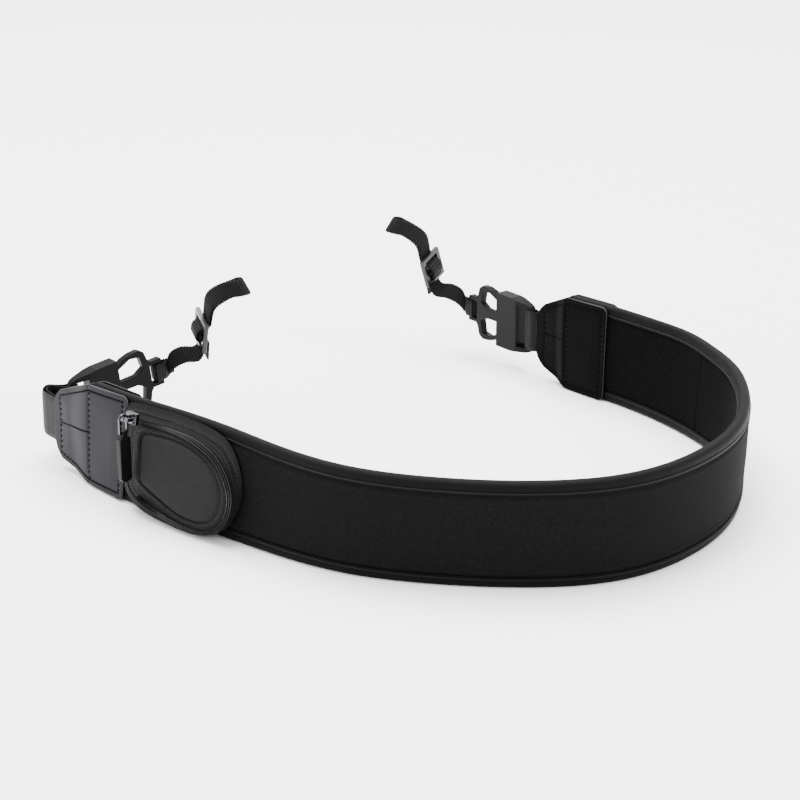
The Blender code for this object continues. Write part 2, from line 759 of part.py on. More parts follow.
def make_lug_webbing(end, finishes, root):
    """Thin webbing: sewn round the buckle's bar, through the slider, up to the lug and back."""
    origin, axis, side, up = buckle_axes(end)
    base = origin + MALE_BASE_END * axis
    centre, along, out, across = slider_axes(end)
    bar_side = MALE_THICKNESS / 2 + GAP + LUG_THICKNESS / 2
    slot = MALE_BASE_END - MALE_BAR - GAP - LUG_THICKNESS / 2
    lap = (LUG_THICKNESS + GAP) / 2
    points = []
    for x, y in (
        (MALE_BASE_END + LUG_LAP, -lap),
        (MALE_BASE_END + LUG_LAP * 0.5, -lap),
        (MALE_BASE_END + GAP, -bar_side),
        (MALE_BASE_END - MALE_BAR / 2, -bar_side),
        (slot + GAP, -bar_side * 0.95),
        (slot, -MALE_THICKNESS / 2),
        (slot, MALE_THICKNESS / 2),
        (slot + GAP, bar_side * 0.95),
        (MALE_BASE_END - MALE_BAR / 2, bar_side),
        (MALE_BASE_END + GAP, bar_side),
        (MALE_BASE_END + LUG_LAP * 0.5, lap),
    ):
        points.append(np.concatenate([origin + x * axis + y * side, up]))
    outer, inner = slider_weave()
    rows = [points[-1]]
    for row in LUG_TO_SLIDER:
        rows.append(np.concatenate([base + past_buckle(end, row[:3]) * MM, past_buckle(end, row[3:])]))
    first = centre + outer[0][0] * along + outer[0][1] * out
    rows.append(np.concatenate([first, across]))
    lead = curve_through(rows, 3)[1:-1]
    weave_out = [np.concatenate([centre + x * along + y * out, across]) for x, y in outer]
    weave_back = [np.concatenate([centre + x * along + y * out, across]) for x, y in inner]
    rows = [weave_out[-1]]
    for row in LUG_TO_EYE:
        rows.append(np.concatenate([base + past_buckle(end, row[:3]) * MM, past_buckle(end, row[3:])]))
    rise = curve_through(rows, 3)[1:]
    ahead = np.gradient(np.vstack([weave_out[-1], rise])[:, :3], axis=0)[1:]
    flat = np.cross(ahead, rise[:, 3:])
    flat = flat / np.linalg.norm(flat, axis=1)[:, None]
    flat = -flat * np.sign(flat[0].dot(out))
    near = LUG_THICKNESS + GAP
    apart = near + (2 * LUG_EYE - near) * np.linspace(0.0, 1.0, len(rise)) ** 1.5
    back = rise.copy()
    back[:, :3] += apart[:, None] * flat
    tip = rise[-1, :3] + LUG_EYE * flat[-1]
    way = ahead[-1] / np.linalg.norm(ahead[-1])
    eye = []
    for angle in (30, 60, 78, 102, 120, 150):
        turn = math.radians(angle)
        place = tip - LUG_EYE * math.cos(turn) * flat[-1] + LUG_EYE * math.sin(turn) * way
        eye.append(np.concatenate([place, rise[-1, 3:]]))
    tail_from = centre + inner[-1][0] * along + inner[-1][1] * out
    tail = [np.concatenate([tail_from - LUG_TAIL * along - 0.5 * MM * out, across])]
    line = np.vstack([points, lead, weave_out, rise, eye, back[::-1], weave_back, tail])
    name = f"lug_webbing_{end}"
    ribbon(name, line[:, :3], line[:, 3:], LUG_WIDTH, LUG_THICKNESS, finishes["ribbed"], root)


def make_lug_slider(end, finishes, root):
    """A plate with three bars."""
    centre, along, _, across = slider_axes(end)
    half_length = SLIDER_LENGTH / 2
    half_width = SLIDER_WIDTH / 2
    outline = [
        (-half_length, -half_width),
        (half_length, -half_width),
        (half_length, half_width),
        (-half_length, half_width),
    ]
    window = half_length - SLIDER_BAR
    slot_half = LUG_WIDTH / 2 + GAP
    holes = []
    for sign in (-1, 1):
        near = sign * SLIDER_BAR / 2
        far = sign * window
        holes.append([(near, -slot_half), (far, -slot_half), (far, slot_half), (near, slot_half)])
    plate = prism(f"lug_slider_{end}", outline, holes, SLIDER_THICKNESS, finishes["plastic"], root)
    plate.matrix_local = placed(centre, (along, np.cross(across, along), across))


# Pocket


def smooth_loop(points, count):
    """A closed smooth curve through a few points, read at even steps from the first one."""
    knots = np.array(points, float)
    size = len(knots)
    steps = np.arange(0, size, 1 / 16)
    index = np.floor(steps).astype(int)
    t = (steps - index)[:, None]
    before, here, there, after = (knots[(index + k) % size] for k in (-1, 0, 1, 2))
    fine = 0.5 * (
        2 * here
        + (there - before) * t
        + (2 * before - 5 * here + 4 * there - after) * t**2
        + (3 * here - before - 3 * there + after) * t**3
    )
    fine = np.vstack([fine, fine[:1]])
    travelled = np.concatenate([[0.0], np.cumsum(np.linalg.norm(np.diff(fine, axis=0), axis=1))])
    wanted = np.arange(count) / count * travelled[-1]
    return np.stack([np.interp(wanted, travelled, fine[:, k]) for k in (0, 1)], axis=1)


def pocket_loops(count):
    """The foot of the pocket's wall and the rim of its panel, as lengths along and up."""
    size = np.array([POCKET_LENGTH, POCKET_HEIGHT])
    foot = np.array(POCKET_OUTLINE) * size + np.array([POCKET_START, POCKET_BOTTOM])
    size = size - np.array([WALL_RUN_TAB + WALL_RUN_FAR, WALL_RUN_LOW + WALL_RUN_HIGH])
    corner = np.array([POCKET_START + WALL_RUN_TAB, POCKET_BOTTOM + WALL_RUN_LOW])
    rim = np.array(PANEL_OUTLINE) * size + corner
    return smooth_loop(foot, count), smooth_loop(rim, count)


POCKET_FACE = HALF_BAND + PANEL_CROWN + GAP


def pocket_line(foot, rim, share):
    """The wall's outside part of the way to the panel: lengths along and up, then out."""
    rows = np.array(POCKET_SECTION)
    way_in, depth, sag = rows[:, 0], rows[:, 1], rows[:, 2]
    line = foot + (rim - foot) * share - np.array([0.0, POCKET_SAG * np.interp(share, way_in, sag)])
    return line, POCKET_FACE + POCKET_DEPTH * np.interp(share, way_in, depth)


def make_pocket(finishes, root):
    """The sloping wall and the domed panel."""
    foot, rim = pocket_loops(POCKET_POINTS)
    centre = rim.mean(axis=0)
    outside = []
    inside = []
    for share, depth, _ in POCKET_SECTION:
        line, out = pocket_line(foot, rim, share)
        inward = (centre - line) / np.linalg.norm(centre - line, axis=1)[:, None]
        outside.append((line, out))
        inside.append((line + inward * POCKET_WALL, out - POCKET_WALL * depth * 0.8))
    loop = outside + inside[::-1]
    sections = np.stack([above_floor(line[:, 0], out, line[:, 1]) for line, out in loop], axis=1)
    swept("pocket_wall", sections, finishes["foam"], root, closed=True)
    make_pocket_panel(rim, centre, finishes, root)


def make_pocket_panel(rim, centre, finishes, root):
    """A shallow dome with a rounded edge, hollow behind."""
    count = len(rim)
    base = POCKET_FACE + POCKET_DEPTH + GAP
    # Share of the way from the rim to the centre, and height over the wall's top
    top = ((0.0, 0.35), (0.03, 0.85), (0.12, 1.15), (0.45, 1.5), (0.75, 1.6))
    under = ((0.75, 0.6), (0.45, 0.5), (0.10, 0.0), (0.0, 0.0))
    rows = []
    for share, height in top:
        line = rim + (centre - rim) * share
        out = base + height * (PANEL_WALL + PANEL_DOME) / 1.6
        rows.append(on_strap(line[:, 0], out, line[:, 1]))
    for share, height in under:
        line = rim + (centre - rim) * share
        out = base + height * PANEL_DOME
        rows.append(on_strap(line[:, 0], out, line[:, 1]))
    points = np.concatenate(rows)
    faces = []
    for r in range(len(rows)):
        if r == len(top) - 1:
            continue
        here = r * count
        there = (r + 1) % len(rows) * count
        for c in range(count):
            step = (c + 1) % count
            faces.append((here + c, here + step, there + step, there + c))
    tops = [base + PANEL_WALL + PANEL_DOME, base + 0.6 * PANEL_DOME]
    centres = [on_strap(centre[0], out, centre[1]) for out in tops]
    points = np.vstack([points, centres])
    for ring, middle in ((len(top) - 1, len(points) - 2), (len(top), len(points) - 1)):
        for c in range(count):
            faces.append((ring * count + c, ring * count + (c + 1) % count, middle))
    solid("pocket_panel", points, faces, finishes["foam"], root, smooth=40)


# Zip


def zip_line(count, across):
    """A line along the zip, some way across it: lengths along and up, then out."""
    foot, rim = pocket_loops(COIL_STEPS * 4)
    low, high = (pocket_line(foot, rim, COIL_AT + step) for step in (-0.1, 0.1))
    middle, out = pocket_line(foot, rim, COIL_AT)
    way = high[0] - low[0]
    rise = high[1] - low[1]
    slope = np.sqrt((way**2).sum(axis=1) + rise**2)
    line = middle + way / slope[:, None] * across
    out = out + rise / slope * across
    shares = np.linspace(COIL_FROM, COIL_TO, count) * len(line)
    index = np.arange(len(line))
    return [np.interp(shares, index, values) for values in (line[:, 0], out, line[:, 1])]


def make_zip_coil(finishes, root):
    """The zip's closed coil lying on the wall."""
    half = COIL_WIDTH / 2
    bed = GAP * 2
    section = ((-half, bed), (half, bed), (half * 0.6, bed + COIL_HEIGHT), (-half * 0.6, bed + COIL_HEIGHT))
    loops = []
    for across, high in section:
        along, out, up = zip_line(COIL_STEPS, across)
        loops.append(above_floor(along, out + high, up))
    swept("zip_coil", np.stack(loops, axis=1), finishes["zip"], root)


def zip_slider_axes():
    """The middle of the zip slider on the coil, then the ways along, out and up there."""
    along, out, up = (values[0] for values in zip_line(COIL_STEPS, 0.0))
    along = along - ZIP_SLIDER_BACK
    _, ahead, face, rise = frame(along)
    place = on_strap(along, out + GAP * 3 + COIL_HEIGHT, up + ZIP_SLIDER_RISE)
    return place, ahead, face, rise


def make_zip_slider(finishes, root):
    """The slider's body with a raised bail that the link goes round."""
    place, ahead, face, _ = zip_slider_axes()
    matrix = placed(place, (ahead, np.cross(face, ahead), face))
    top = ZIP_SLIDER_HEIGHT
    half = ZIP_SLIDER_LENGTH / 2
    low = (-half, -ZIP_SLIDER_WIDTH / 2, 0.0)
    body = box("zip_slider", low, (half, ZIP_SLIDER_WIDTH / 2, top), finishes["metal"], root)
    body.matrix_local = matrix
    bar = top + BAIL_CLEAR
    crown = bar + BAIL_THICKNESS
    leg = half * 0.75
    eye = leg - BAIL_THICKNESS
    outline = [
        (-leg, top / 2),
        (-leg, bar),
        (-leg * 0.6, crown),
        (leg * 0.6, crown),
        (leg, bar),
        (leg, top / 2),
        (eye, top / 2),
        (eye, bar),
        (-eye, bar),
        (-eye, top / 2),
    ]
    bail = prism("bail_guide", outline, (), BAIL_WIDTH, finishes["metal"], root)
    bail.matrix_local = matrix
    combine(body, bail, "UNION")


def make_pull(finishes, root):
    """The link round the bail's bar and the pull that hangs from it, on one hinge."""
    place, ahead, face, rise = zip_slider_axes()
    hinge = place + face * (ZIP_SLIDER_HEIGHT + BAIL_CLEAR + BAIL_THICKNESS / 2)
    down = np.array([0.0, 0.0, -1.0])
    level = face * np.array([1.0, 1.0, 0.0])
    level = level / np.linalg.norm(level)
    swing = bpy.data.objects.new("zip_pull_hinge", None)
    bpy.context.collection.objects.link(swing)
    swing.parent = root
    swing.matrix_local = placed(hinge, (level, np.cross(-down, level), -down))
    inner = LINK_INNER / 2
    wire = LINK_WIRE
    bottom = -LINK_LENGTH + wire
    outer_loop = []
    inner_loop = []
    for angle in range(0, 181, 30):
        turn = math.radians(angle)
        outer_loop.append(((inner + wire) * math.cos(turn), (inner + wire) * math.sin(turn)))
        inner_loop.append((inner * math.cos(turn), inner * math.sin(turn)))
    outer_loop += [(-(inner + wire), bottom - wire * 0.3), (-inner * 0.8, -LINK_LENGTH)]
    outer_loop += [(inner * 0.8, -LINK_LENGTH), (inner + wire, bottom - wire * 0.3)]
    inner_loop += [(-inner, bottom), (inner, bottom)]
    prism("pull_link", outer_loop, [inner_loop], wire, finishes["metal"], swing)
    eye = wire / 2 + GAP
    top = -LINK_LENGTH + wire / 2 + eye + PULL_EYE_WALL
    neck = inner - GAP
    shoulder = -LINK_LENGTH - GAP - 0.4 * MM
    half = PULL_WIDTH / 2
    end = shoulder - PULL_LENGTH
    outline = [(-neck, top), (neck, top), (neck, shoulder + 0.2 * MM), (half, shoulder - 1.5 * MM)]
    outline += [(half, end + 1.5 * MM), (half - 1.5 * MM, end), (-half + 1.5 * MM, end)]
    outline += [(-half, end + 1.5 * MM), (-half, shoulder - 1.5 * MM), (-neck, shoulder + 0.2 * MM)]
    tab = prism("pull_tab", outline, (), PULL_THICKNESS, finishes["rubber"], swing)
    reach = PULL_WIDTH
    low = (-reach, -eye, -LINK_LENGTH + wire / 2 - eye)
    bore = box("pull_bore", low, (reach, eye, -LINK_LENGTH + wire / 2 + eye), finishes["rubber"], swing)
    combine(tab, bore, "DIFFERENCE")


def centre_over_origin(root):
    """Moves the strap so that the middle of its box's bottom is at the origin."""
    bpy.context.view_layer.update()
    graph = bpy.context.evaluated_depsgraph_get()
    points = []
    for item in bpy.data.objects:
        if item.type == "MESH" and not item.hide_render:
            shape = item.evaluated_get(graph)
            points += [item.matrix_world @ Vector(corner) for corner in shape.bound_box]
    points = np.array(points)
    middle = (points.min(axis=0) + points.max(axis=0)) / 2
    root.location = (-middle[0], -middle[1], 0.0)


def main():
    """The whole strap, centred over its own box."""
    clear_scene()
    finishes = {
        "foam": material("foam_rubber", (0.018, 0.018, 0.020), 0.85),
        "lining": material("mesh_lining", (0.015, 0.015, 0.017), 0.9),
        "binding": material("edge_binding", (0.022, 0.023, 0.027), 0.6),
        "leather": material("smooth_leather", (0.035, 0.035, 0.038), 0.42),
        "webbing": material("smooth_webbing", (0.020, 0.020, 0.022), 0.6),
        "ribbed": material("ribbed_webbing", (0.018, 0.018, 0.019), 0.75),
        "plastic": material("moulded_plastic", (0.020, 0.020, 0.022), 0.38),
        "zip": material("zip_nylon", (0.015, 0.015, 0.016), 0.5),
        "metal": material("bright_metal", (0.62, 0.62, 0.64), 0.25, 1.0),
        "rubber": material("pull_rubber", (0.020, 0.020, 0.021), 0.5),
    }
    root = bpy.data.objects.new("strap_origin", None)
    bpy.context.collection.objects.link(root)
    make_band(finishes, root)
    make_tabs(finishes, root)
    for end in ("left", "right"):
        make_webbing_loop(end, finishes, root)
        make_female(end, finishes, root)
        make_male(end, finishes, root)
        make_lug_webbing(end, finishes, root)
        make_lug_slider(end, finishes, root)
    make_pocket(finishes, root)
    make_zip_coil(finishes, root)
    make_zip_slider(finishes, root)
    make_pull(finishes, root)
    centre_over_origin(root)


main()
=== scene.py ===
# %% [markdown]
# A padded camera neck strap stands on its lower edge and bends round the place where the neck goes.
# The hard frame comes from the CAD part. Everything soft is rebuilt here as dense surfaces that
# follow the same course, because foam, leather and webbing show their make in folds, seams and
# thread that a coarse solid can't hold.

import math
from itertools import combinations, permutations

import bmesh
import bpy
import numpy as np
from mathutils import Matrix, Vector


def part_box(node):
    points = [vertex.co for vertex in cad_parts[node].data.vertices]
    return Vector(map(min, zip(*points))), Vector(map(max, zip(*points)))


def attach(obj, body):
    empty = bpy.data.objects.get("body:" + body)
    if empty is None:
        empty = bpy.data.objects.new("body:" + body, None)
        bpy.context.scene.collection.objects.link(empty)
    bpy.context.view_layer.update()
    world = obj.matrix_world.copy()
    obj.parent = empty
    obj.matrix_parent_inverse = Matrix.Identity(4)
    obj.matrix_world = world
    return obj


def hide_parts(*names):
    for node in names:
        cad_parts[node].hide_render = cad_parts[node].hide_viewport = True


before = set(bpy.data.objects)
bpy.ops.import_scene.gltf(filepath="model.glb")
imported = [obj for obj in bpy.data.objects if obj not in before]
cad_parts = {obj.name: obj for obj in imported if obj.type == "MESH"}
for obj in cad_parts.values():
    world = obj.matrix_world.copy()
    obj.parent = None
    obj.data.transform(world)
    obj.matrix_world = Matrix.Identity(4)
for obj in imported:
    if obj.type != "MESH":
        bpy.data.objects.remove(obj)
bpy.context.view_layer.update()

# %% [markdown]
# The strap is placed by three lengths: along it from the left leather end, out from its middle
# surface, and up from its lower edge. A table of headings says how it bends over the floor and a
# second one how far its top leans out. One function turns the three lengths into a point, so a
# stitch, a tape or a seam can be laid on the strap as if it were flat.

# %%
# The course of the strap
MM = 0.001
LENGTH = 711 * MM
WIDTH = 58 * MM
HALF = 3.3 * MM
EASE = 14 * MM
BAND_START = 36 * MM
BAND_END = LENGTH - 25 * MM
COURSE_STEPS = 1400
LEFT_END = np.array([-183.527, -18.911, 0.0]) * MM
HEADINGS = np.array([
    (0.000, -51), (0.097, -51), (0.127, -40), (0.241, -39), (0.286, -31), (0.336, -15),
    (0.385, -8), (0.434, 0), (0.469, 9), (0.504, 27), (0.543, 44), (0.593, 57),
    (0.642, 71), (0.721, 88), (0.800, 115), (0.860, 123), (0.910, 131), (1.000, 134),
])
LEANS = np.array([
    (0.00, 0), (0.04, -1), (0.09, -6), (0.13, -11), (0.18, -9), (0.24, -2), (0.30, 3),
    (0.35, 5.5), (0.42, 6.5), (0.52, 5.5), (0.62, 4.5), (0.72, 1), (0.79, 2), (0.84, 7),
    (0.88, 3), (0.92, 2), (0.96, 0), (1.00, 0),
])


def eased(table, at):
    """The table's value at a length, averaged over 14 mm to each side."""
    around = np.linspace(-1.0, 1.0, 9) * EASE
    return np.interp((np.asarray(at)[..., None] + around) / LENGTH, table[:, 0], table[:, 1]).mean(-1)


course_at = np.linspace(0.0, LENGTH, COURSE_STEPS + 1)
course_turn = np.radians(eased(HEADINGS, course_at))
course_lean = np.radians(eased(LEANS, course_at))
middle_turn = (course_turn[1:] + course_turn[:-1]) / 2
course_x = np.concatenate([[0.0], np.cumsum(np.cos(middle_turn)) * LENGTH / COURSE_STEPS])
course_y = np.concatenate([[0.0], np.cumsum(np.sin(middle_turn)) * LENGTH / COURSE_STEPS])


def axes(at):
    """The foot of the strap at a length, and the directions along, out and up there."""
    at = np.asarray(at, float)
    inside = np.clip(at, 0.0, LENGTH)
    turn = np.interp(inside, course_at, course_turn)
    lean = np.interp(inside, course_at, course_lean)
    nought = np.zeros_like(turn)
    ahead = np.stack([np.cos(turn), np.sin(turn), nought], -1)
    outward = np.stack([np.sin(turn), -np.cos(turn), nought], -1)
    upright = np.stack([nought, nought, nought + 1], -1)
    place = [np.interp(inside, course_at, course_x), np.interp(inside, course_at, course_y), nought]
    foot = np.stack(place, -1) + (at - inside)[..., None] * ahead + LEFT_END
    up = np.cos(lean)[..., None] * upright + np.sin(lean)[..., None] * outward
    face = np.cos(lean)[..., None] * outward - np.sin(lean)[..., None] * upright
    return foot, ahead, face, up


def on_strap(along, out, up, floor=0.0):
    """Points from three lengths: the foot, plus out times the face's way, plus up times the rise's way.

    No point goes under the floor's height.
    """
    along, out, up = np.broadcast_arrays(along, out, up)
    foot, _, face, rise = axes(along)
    points = foot + out[..., None] * face + up[..., None] * rise
    points[..., 2] = np.maximum(points[..., 2], floor)
    return points


cad_foot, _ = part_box("bottom_binding")
mine = on_strap(np.linspace(BAND_START, BAND_END, 400), 0.0, 0.0)
print("band's lowest x", round(float(cad_foot.x), 4), "from the course", round(float(mine[:, 0].min()), 4))

# %% [markdown]
# Every soft piece is a grid of points: rows along it, and a closed loop across it. One function
# turns such a grid into a mesh and stores two lengths with each point, along and across, so that a
# weave or a rib in the finish runs with the piece however it bends.

# %%
# Grids to meshes
SOFT_SHARP = 50


def piece(name, points, material, lay=None, ring=False):
    """A closed mesh from rows of loops.

    With ring the last row is joined to the first one, and without it both ends get a flat face.
    """
    rows, cols = points.shape[:2]
    r = np.arange(rows if ring else rows - 1)[:, None]
    c = np.arange(cols)[None, :]
    here, there, step = r * cols, (r + 1) % rows * cols, (c + 1) % cols
    quads = np.stack(np.broadcast_arrays(here + c, here + step, there + step, there + c), -1)
    faces = quads.reshape(-1, 4).tolist()
    if not ring:
        faces += [list(range(cols))[::-1], list(range((rows - 1) * cols, rows * cols))]
    mesh = bpy.data.meshes.new(name)
    mesh.from_pydata(points.reshape(-1, 3).tolist(), [], faces)
    if lay is not None:
        kept = mesh.attributes.new("lay", "FLOAT_VECTOR", "POINT")
        flat = np.zeros((rows, cols, 3), np.float32)
        flat[..., 0], flat[..., 1] = lay
        kept.data.foreach_set("vector", flat.ravel())
    return finished(name, mesh, material, SOFT_SHARP)


def finished(name, mesh, material, sharp, body="strap"):
    """A mesh as an object that rides on its body: faces outwards, smooth but for sharp edges."""
    built = bmesh.new()
    built.from_mesh(mesh)
    bmesh.ops.recalc_face_normals(built, faces=built.faces)
    built.to_mesh(mesh)
    built.free()
    mesh.shade_smooth()
    mesh.set_sharp_from_angle(angle=math.radians(sharp))
    mesh.materials.clear()
    mesh.materials.append(material)
    made = bpy.data.objects.new(name, mesh)
    bpy.context.scene.collection.objects.link(made)
    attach(made, body)
    return made


def evenly(line, pitch):
    """A line of points read at an even pitch, and the way along it at each."""
    travelled = np.concatenate([[0.0], np.cumsum(np.linalg.norm(np.diff(line, axis=0), axis=1))])
    count = max(2, int(travelled[-1] / pitch))
    wanted = (np.arange(count) + 0.5) * travelled[-1] / count
    places = np.stack([np.interp(wanted, travelled, line[:, k]) for k in range(line.shape[1])], 1)
    ahead = np.gradient(places[:, :3], axis=0)
    return places, ahead / np.linalg.norm(ahead, axis=1)[:, None]


# %% [markdown]
# Thread shows on a seam as a row of short raised dashes. A texture would lie flat, so each stitch is
# a small capsule of a few dozen faces. A whole row is one mesh, because a seam has hundreds of them.

# %%
# Stitches
THREAD_SIDES = 6
THREAD_DIP = 0.30 * MM
THREAD_FLATNESS = 0.75
THREAD_SHARE = 0.28
THREAD_SHARP = 80
THREAD_RINGS = np.array([  # place along the thread, share of its radius
    (-1.0, 0.15), (-0.85, 0.75), (-0.45, 1.0), (0.45, 1.0), (0.85, 0.75), (1.0, 0.15),
])


def stitches(name, line, normals, material, pitch, thickness):
    """A row of threads, each a flattened capsule whose ends dip into the surface.

    With t from -1 to 1 along a thread, its middle sinks by the dip times t to the fourth.
    """
    places, ahead = evenly(np.hstack([line, normals]), pitch)
    out = places[:, 3:] / np.linalg.norm(places[:, 3:], axis=1)[:, None]
    side = np.cross(out, ahead)
    t = THREAD_RINGS[:, 0]
    radius = THREAD_RINGS[:, 1] * thickness / 2
    turn = np.arange(THREAD_SIDES) * math.tau / THREAD_SIDES
    a = radius[:, None] * np.cos(turn)
    b = radius[:, None] * np.sin(turn) * THREAD_FLATNESS - (THREAD_DIP * t**4)[:, None]
    x = np.broadcast_to((t * pitch * THREAD_SHARE)[:, None], a.shape)
    cloud = (
        places[:, None, None, :3]
        + x[None, ..., None] * ahead[:, None, None]
        + a[None, ..., None] * side[:, None, None]
        + b[None, ..., None] * out[:, None, None]
    )
    ring = np.arange(len(t) - 1)[:, None] * THREAD_SIDES
    c = np.arange(THREAD_SIDES)
    after = (c + 1) % THREAD_SIDES
    quads = [ring + c, ring + after, ring + THREAD_SIDES + after, ring + THREAD_SIDES + c]
    quads = np.stack(quads, -1).reshape(-1, 4)
    starts = np.arange(len(places))[:, None] * a.size
    faces = (quads[None] + starts[..., None]).reshape(-1, 4).tolist()
    faces += (starts + c[::-1]).tolist() + (starts + a.size - THREAD_SIDES + c).tolist()
    mesh = bpy.data.meshes.new(name)
    mesh.from_pydata(cloud.reshape(-1, 3).tolist(), [], faces)
    return finished(name, mesh, material, THREAD_SHARP)


print("a stitch has", len(THREAD_RINGS) * THREAD_SIDES, "points")

# %% [markdown]
# The finishes are built from noise and waves only. A black thing on white paper under a strong light
# is lit from all sides, so its colours are far darker than black looks to the eye. These helpers
# make a material, add a node to it, and read where a point lies on the piece or in its space.

# %%
# Finish helpers


def finish(name, colour, roughness, metallic=0.0, shine=0.25):
    """A Principled material, with its nodes' tree and its shader."""
    made = bpy.data.materials.new(name)
    made.use_nodes = True
    tree = made.node_tree
    shader = tree.nodes["Principled BSDF"]
    shader.inputs["Base Color"].default_value = (*colour, 1.0)
    shader.inputs["Roughness"].default_value = roughness
    shader.inputs["Metallic"].default_value = metallic
    shader.inputs["Specular IOR Level"].default_value = shine
    return made, tree, shader


def node(tree, kind, **values):
    """A node with some of its inputs or settings set."""
    made = tree.nodes.new(kind)
    for key, value in values.items():
        label = key.replace("_", " ").title()
        if label in made.inputs:
            made.inputs[label].default_value = value
        else:
            setattr(made, key, value)
    return made


def object_noise(tree, scale, detail=1.0):
    """Noise in the piece's own space."""
    where = node(tree, "ShaderNodeTexCoord")
    made = node(tree, "ShaderNodeTexNoise", scale=scale, detail=detail)
    tree.links.new(where.outputs["Object"], made.inputs["Vector"])
    return made.outputs["Fac"]


def maths(tree, operation, first, second=None):
    """One step of arithmetic on a socket, with a number or a second socket."""
    made = node(tree, "ShaderNodeMath", operation=operation)
    tree.links.new(first, made.inputs[0])
    if isinstance(second, float):
        made.inputs[1].default_value = second
    elif second is not None:
        tree.links.new(second, made.inputs[1])
    return made.outputs[0]


def stored(tree):
    """The two values kept with each point of a piece: along and across."""
    kept = node(tree, "ShaderNodeAttribute", attribute_name="lay")
    split = node(tree, "ShaderNodeSeparateXYZ")
    tree.links.new(kept.outputs["Vector"], split.inputs["Vector"])
    return split.outputs["X"], split.outputs["Y"]


# %% [markdown]
# Cloth gets its look from threads that cross. The product of a wave along the piece and a wave
# across it is a field of small bumps, which raises the surface or mixes a dark and a lighter colour.

# %%
# Waves, bumps and tints


def wave(tree, value, pitch):
    """A sine that repeats every pitch of the value."""
    return maths(tree, "SINE", maths(tree, "MULTIPLY", value, math.tau / pitch))


def weave(tree, pitch_along, pitch_across):
    """Woven height: the product of a wave along the piece and one across it."""
    along, across = stored(tree)
    return maths(tree, "MULTIPLY", wave(tree, along, pitch_along), wave(tree, across, pitch_across))


def bump(tree, shader, height, distance, strength=0.6):
    """Raises the shader's surface by a height."""
    made = node(tree, "ShaderNodeBump", strength=strength, distance=distance)
    tree.links.new(height, made.inputs["Height"])
    tree.links.new(made.outputs["Normal"], shader.inputs["Normal"])


def tint(tree, shader, value, low, high, start, end):
    """Mixes two colours by a value that goes from start to end."""
    ramp = node(tree, "ShaderNodeValToRGB")
    ramp.color_ramp.elements[0].position = start
    ramp.color_ramp.elements[1].position = end
    ramp.color_ramp.elements[0].color = (*low, 1.0)
    ramp.color_ramp.elements[1].color = (*high, 1.0)
    tree.links.new(value, ramp.inputs["Fac"])
    tree.links.new(ramp.outputs["Color"], shader.inputs["Base Color"])


def woven(name, colour, roughness, along, across, shine):
    """Fabric with threads at two pitches."""
    made, tree, shader = finish(name, colour, roughness, shine=shine)
    bump(tree, shader, weave(tree, along, across), 0.10 * MM, 0.7)
    return made


def leather_finish(name, colour, edge_colour, roughness, shine):
    """Leather with a shallow grain, paler where the stored edge value is low: at its cut edge."""
    made, tree, shader = finish(name, colour, roughness, shine=shine)
    bump(tree, shader, object_noise(tree, 900.0, 3.0), 0.12 * MM, 0.35)
    tint(tree, shader, stored(tree)[0], edge_colour, colour, 0.15, 0.75)
    return made


# %% [markdown]
# Foam rubber is nearly black with a fine lighter speckle, and the mesh lining has small holes. The
# outer leather's colour is paler than the inner one's: the paper's reflection on it is painted in as
# a sheen, and both are pale at their cut edges.

# %%
# Foam, lining and leather finishes
foam, tree, shader = finish("foam_rubber_fine", (0.004, 0.004, 0.004), 0.85, shine=0.05)
speck = object_noise(tree, 2600.0)
tint(tree, shader, speck, (0.0016, 0.0016, 0.0016), (0.0095, 0.0095, 0.0095), 0.45, 0.85)
bump(tree, shader, speck, 0.25 * MM, 0.5)

panel_foam, tree, shader = finish("pocket_foam_fine", (0.0060, 0.0060, 0.0062), 0.80, shine=0.12)
fuzz = object_noise(tree, 1900.0)
tint(tree, shader, fuzz, (0.0045, 0.0045, 0.0046), (0.0110, 0.0110, 0.0112), 0.45, 0.75)
bump(tree, shader, fuzz, 0.15 * MM, 0.4)

lining, tree, shader = finish("mesh_lining_fine", (0.002, 0.002, 0.002), 0.85, shine=0.03)
mesh_height = weave(tree, 1.5 * MM, 1.9 * MM)
bump(tree, shader, mesh_height, 0.3 * MM, 0.8)
tint(tree, shader, mesh_height, (0.0006, 0.0006, 0.0007), (0.0036, 0.0036, 0.0038), 0.10, 0.70)

# Paler base colour on the outer leather: the paper's reflection painted in as a sheen. The inner leather is
# kept dark.
leather = leather_finish(
    "smooth_leather_fine", (0.0135, 0.0135, 0.0155), (0.040, 0.040, 0.043), 0.52, 0.07
)
inner_leather = leather_finish(
    "inner_leather_fine", (0.0008, 0.0008, 0.0009), (0.040, 0.040, 0.041), 0.50, 0.02
)
print("finishes", len(bpy.data.materials))

# %% [markdown]
# The bindings and webbings are woven. The thin webbing has cross ribs, the zip's tape a herringbone,
# and the zip's coil three ridges. The ribs and the coil's ridges are painted lighter on their crests and
# darker between them, as painted light and shade. The herringbone is a wave along the tape that is
# pushed ahead by a length which folds to and fro across it, so its threads turn back in chevrons.

# %%
# Woven and zip finishes
RIB_PITCH = 1.6 * MM
CHEVRON = 1.3 * MM
COIL_WIDTH = 3.6 * MM

binding = woven("edge_binding_fine", (0.0015, 0.0015, 0.0018), 0.55, 0.9 * MM, 0.8 * MM, 0.05)
webbing = woven("smooth_webbing_fine", (0.0022, 0.0022, 0.0024), 0.45, 1.0 * MM, 0.9 * MM, 0.08)

ribbed, tree, shader = finish("ribbed_webbing_fine", (0.002, 0.002, 0.002), 0.60, shine=0.10)
# Painted light and shade: lighter on each rib's crest and darker between the ribs, in step with the ribs'
# shape.
painted_rib_light_and_shade = wave(tree, stored(tree)[0], RIB_PITCH)
tint(tree, shader, painted_rib_light_and_shade, (0.0006, 0.0006, 0.0006), (0.0080, 0.0080, 0.0080), 0.05, 0.90)
bump(tree, shader, weave(tree, RIB_PITCH, 1.2 * MM), 0.12 * MM)

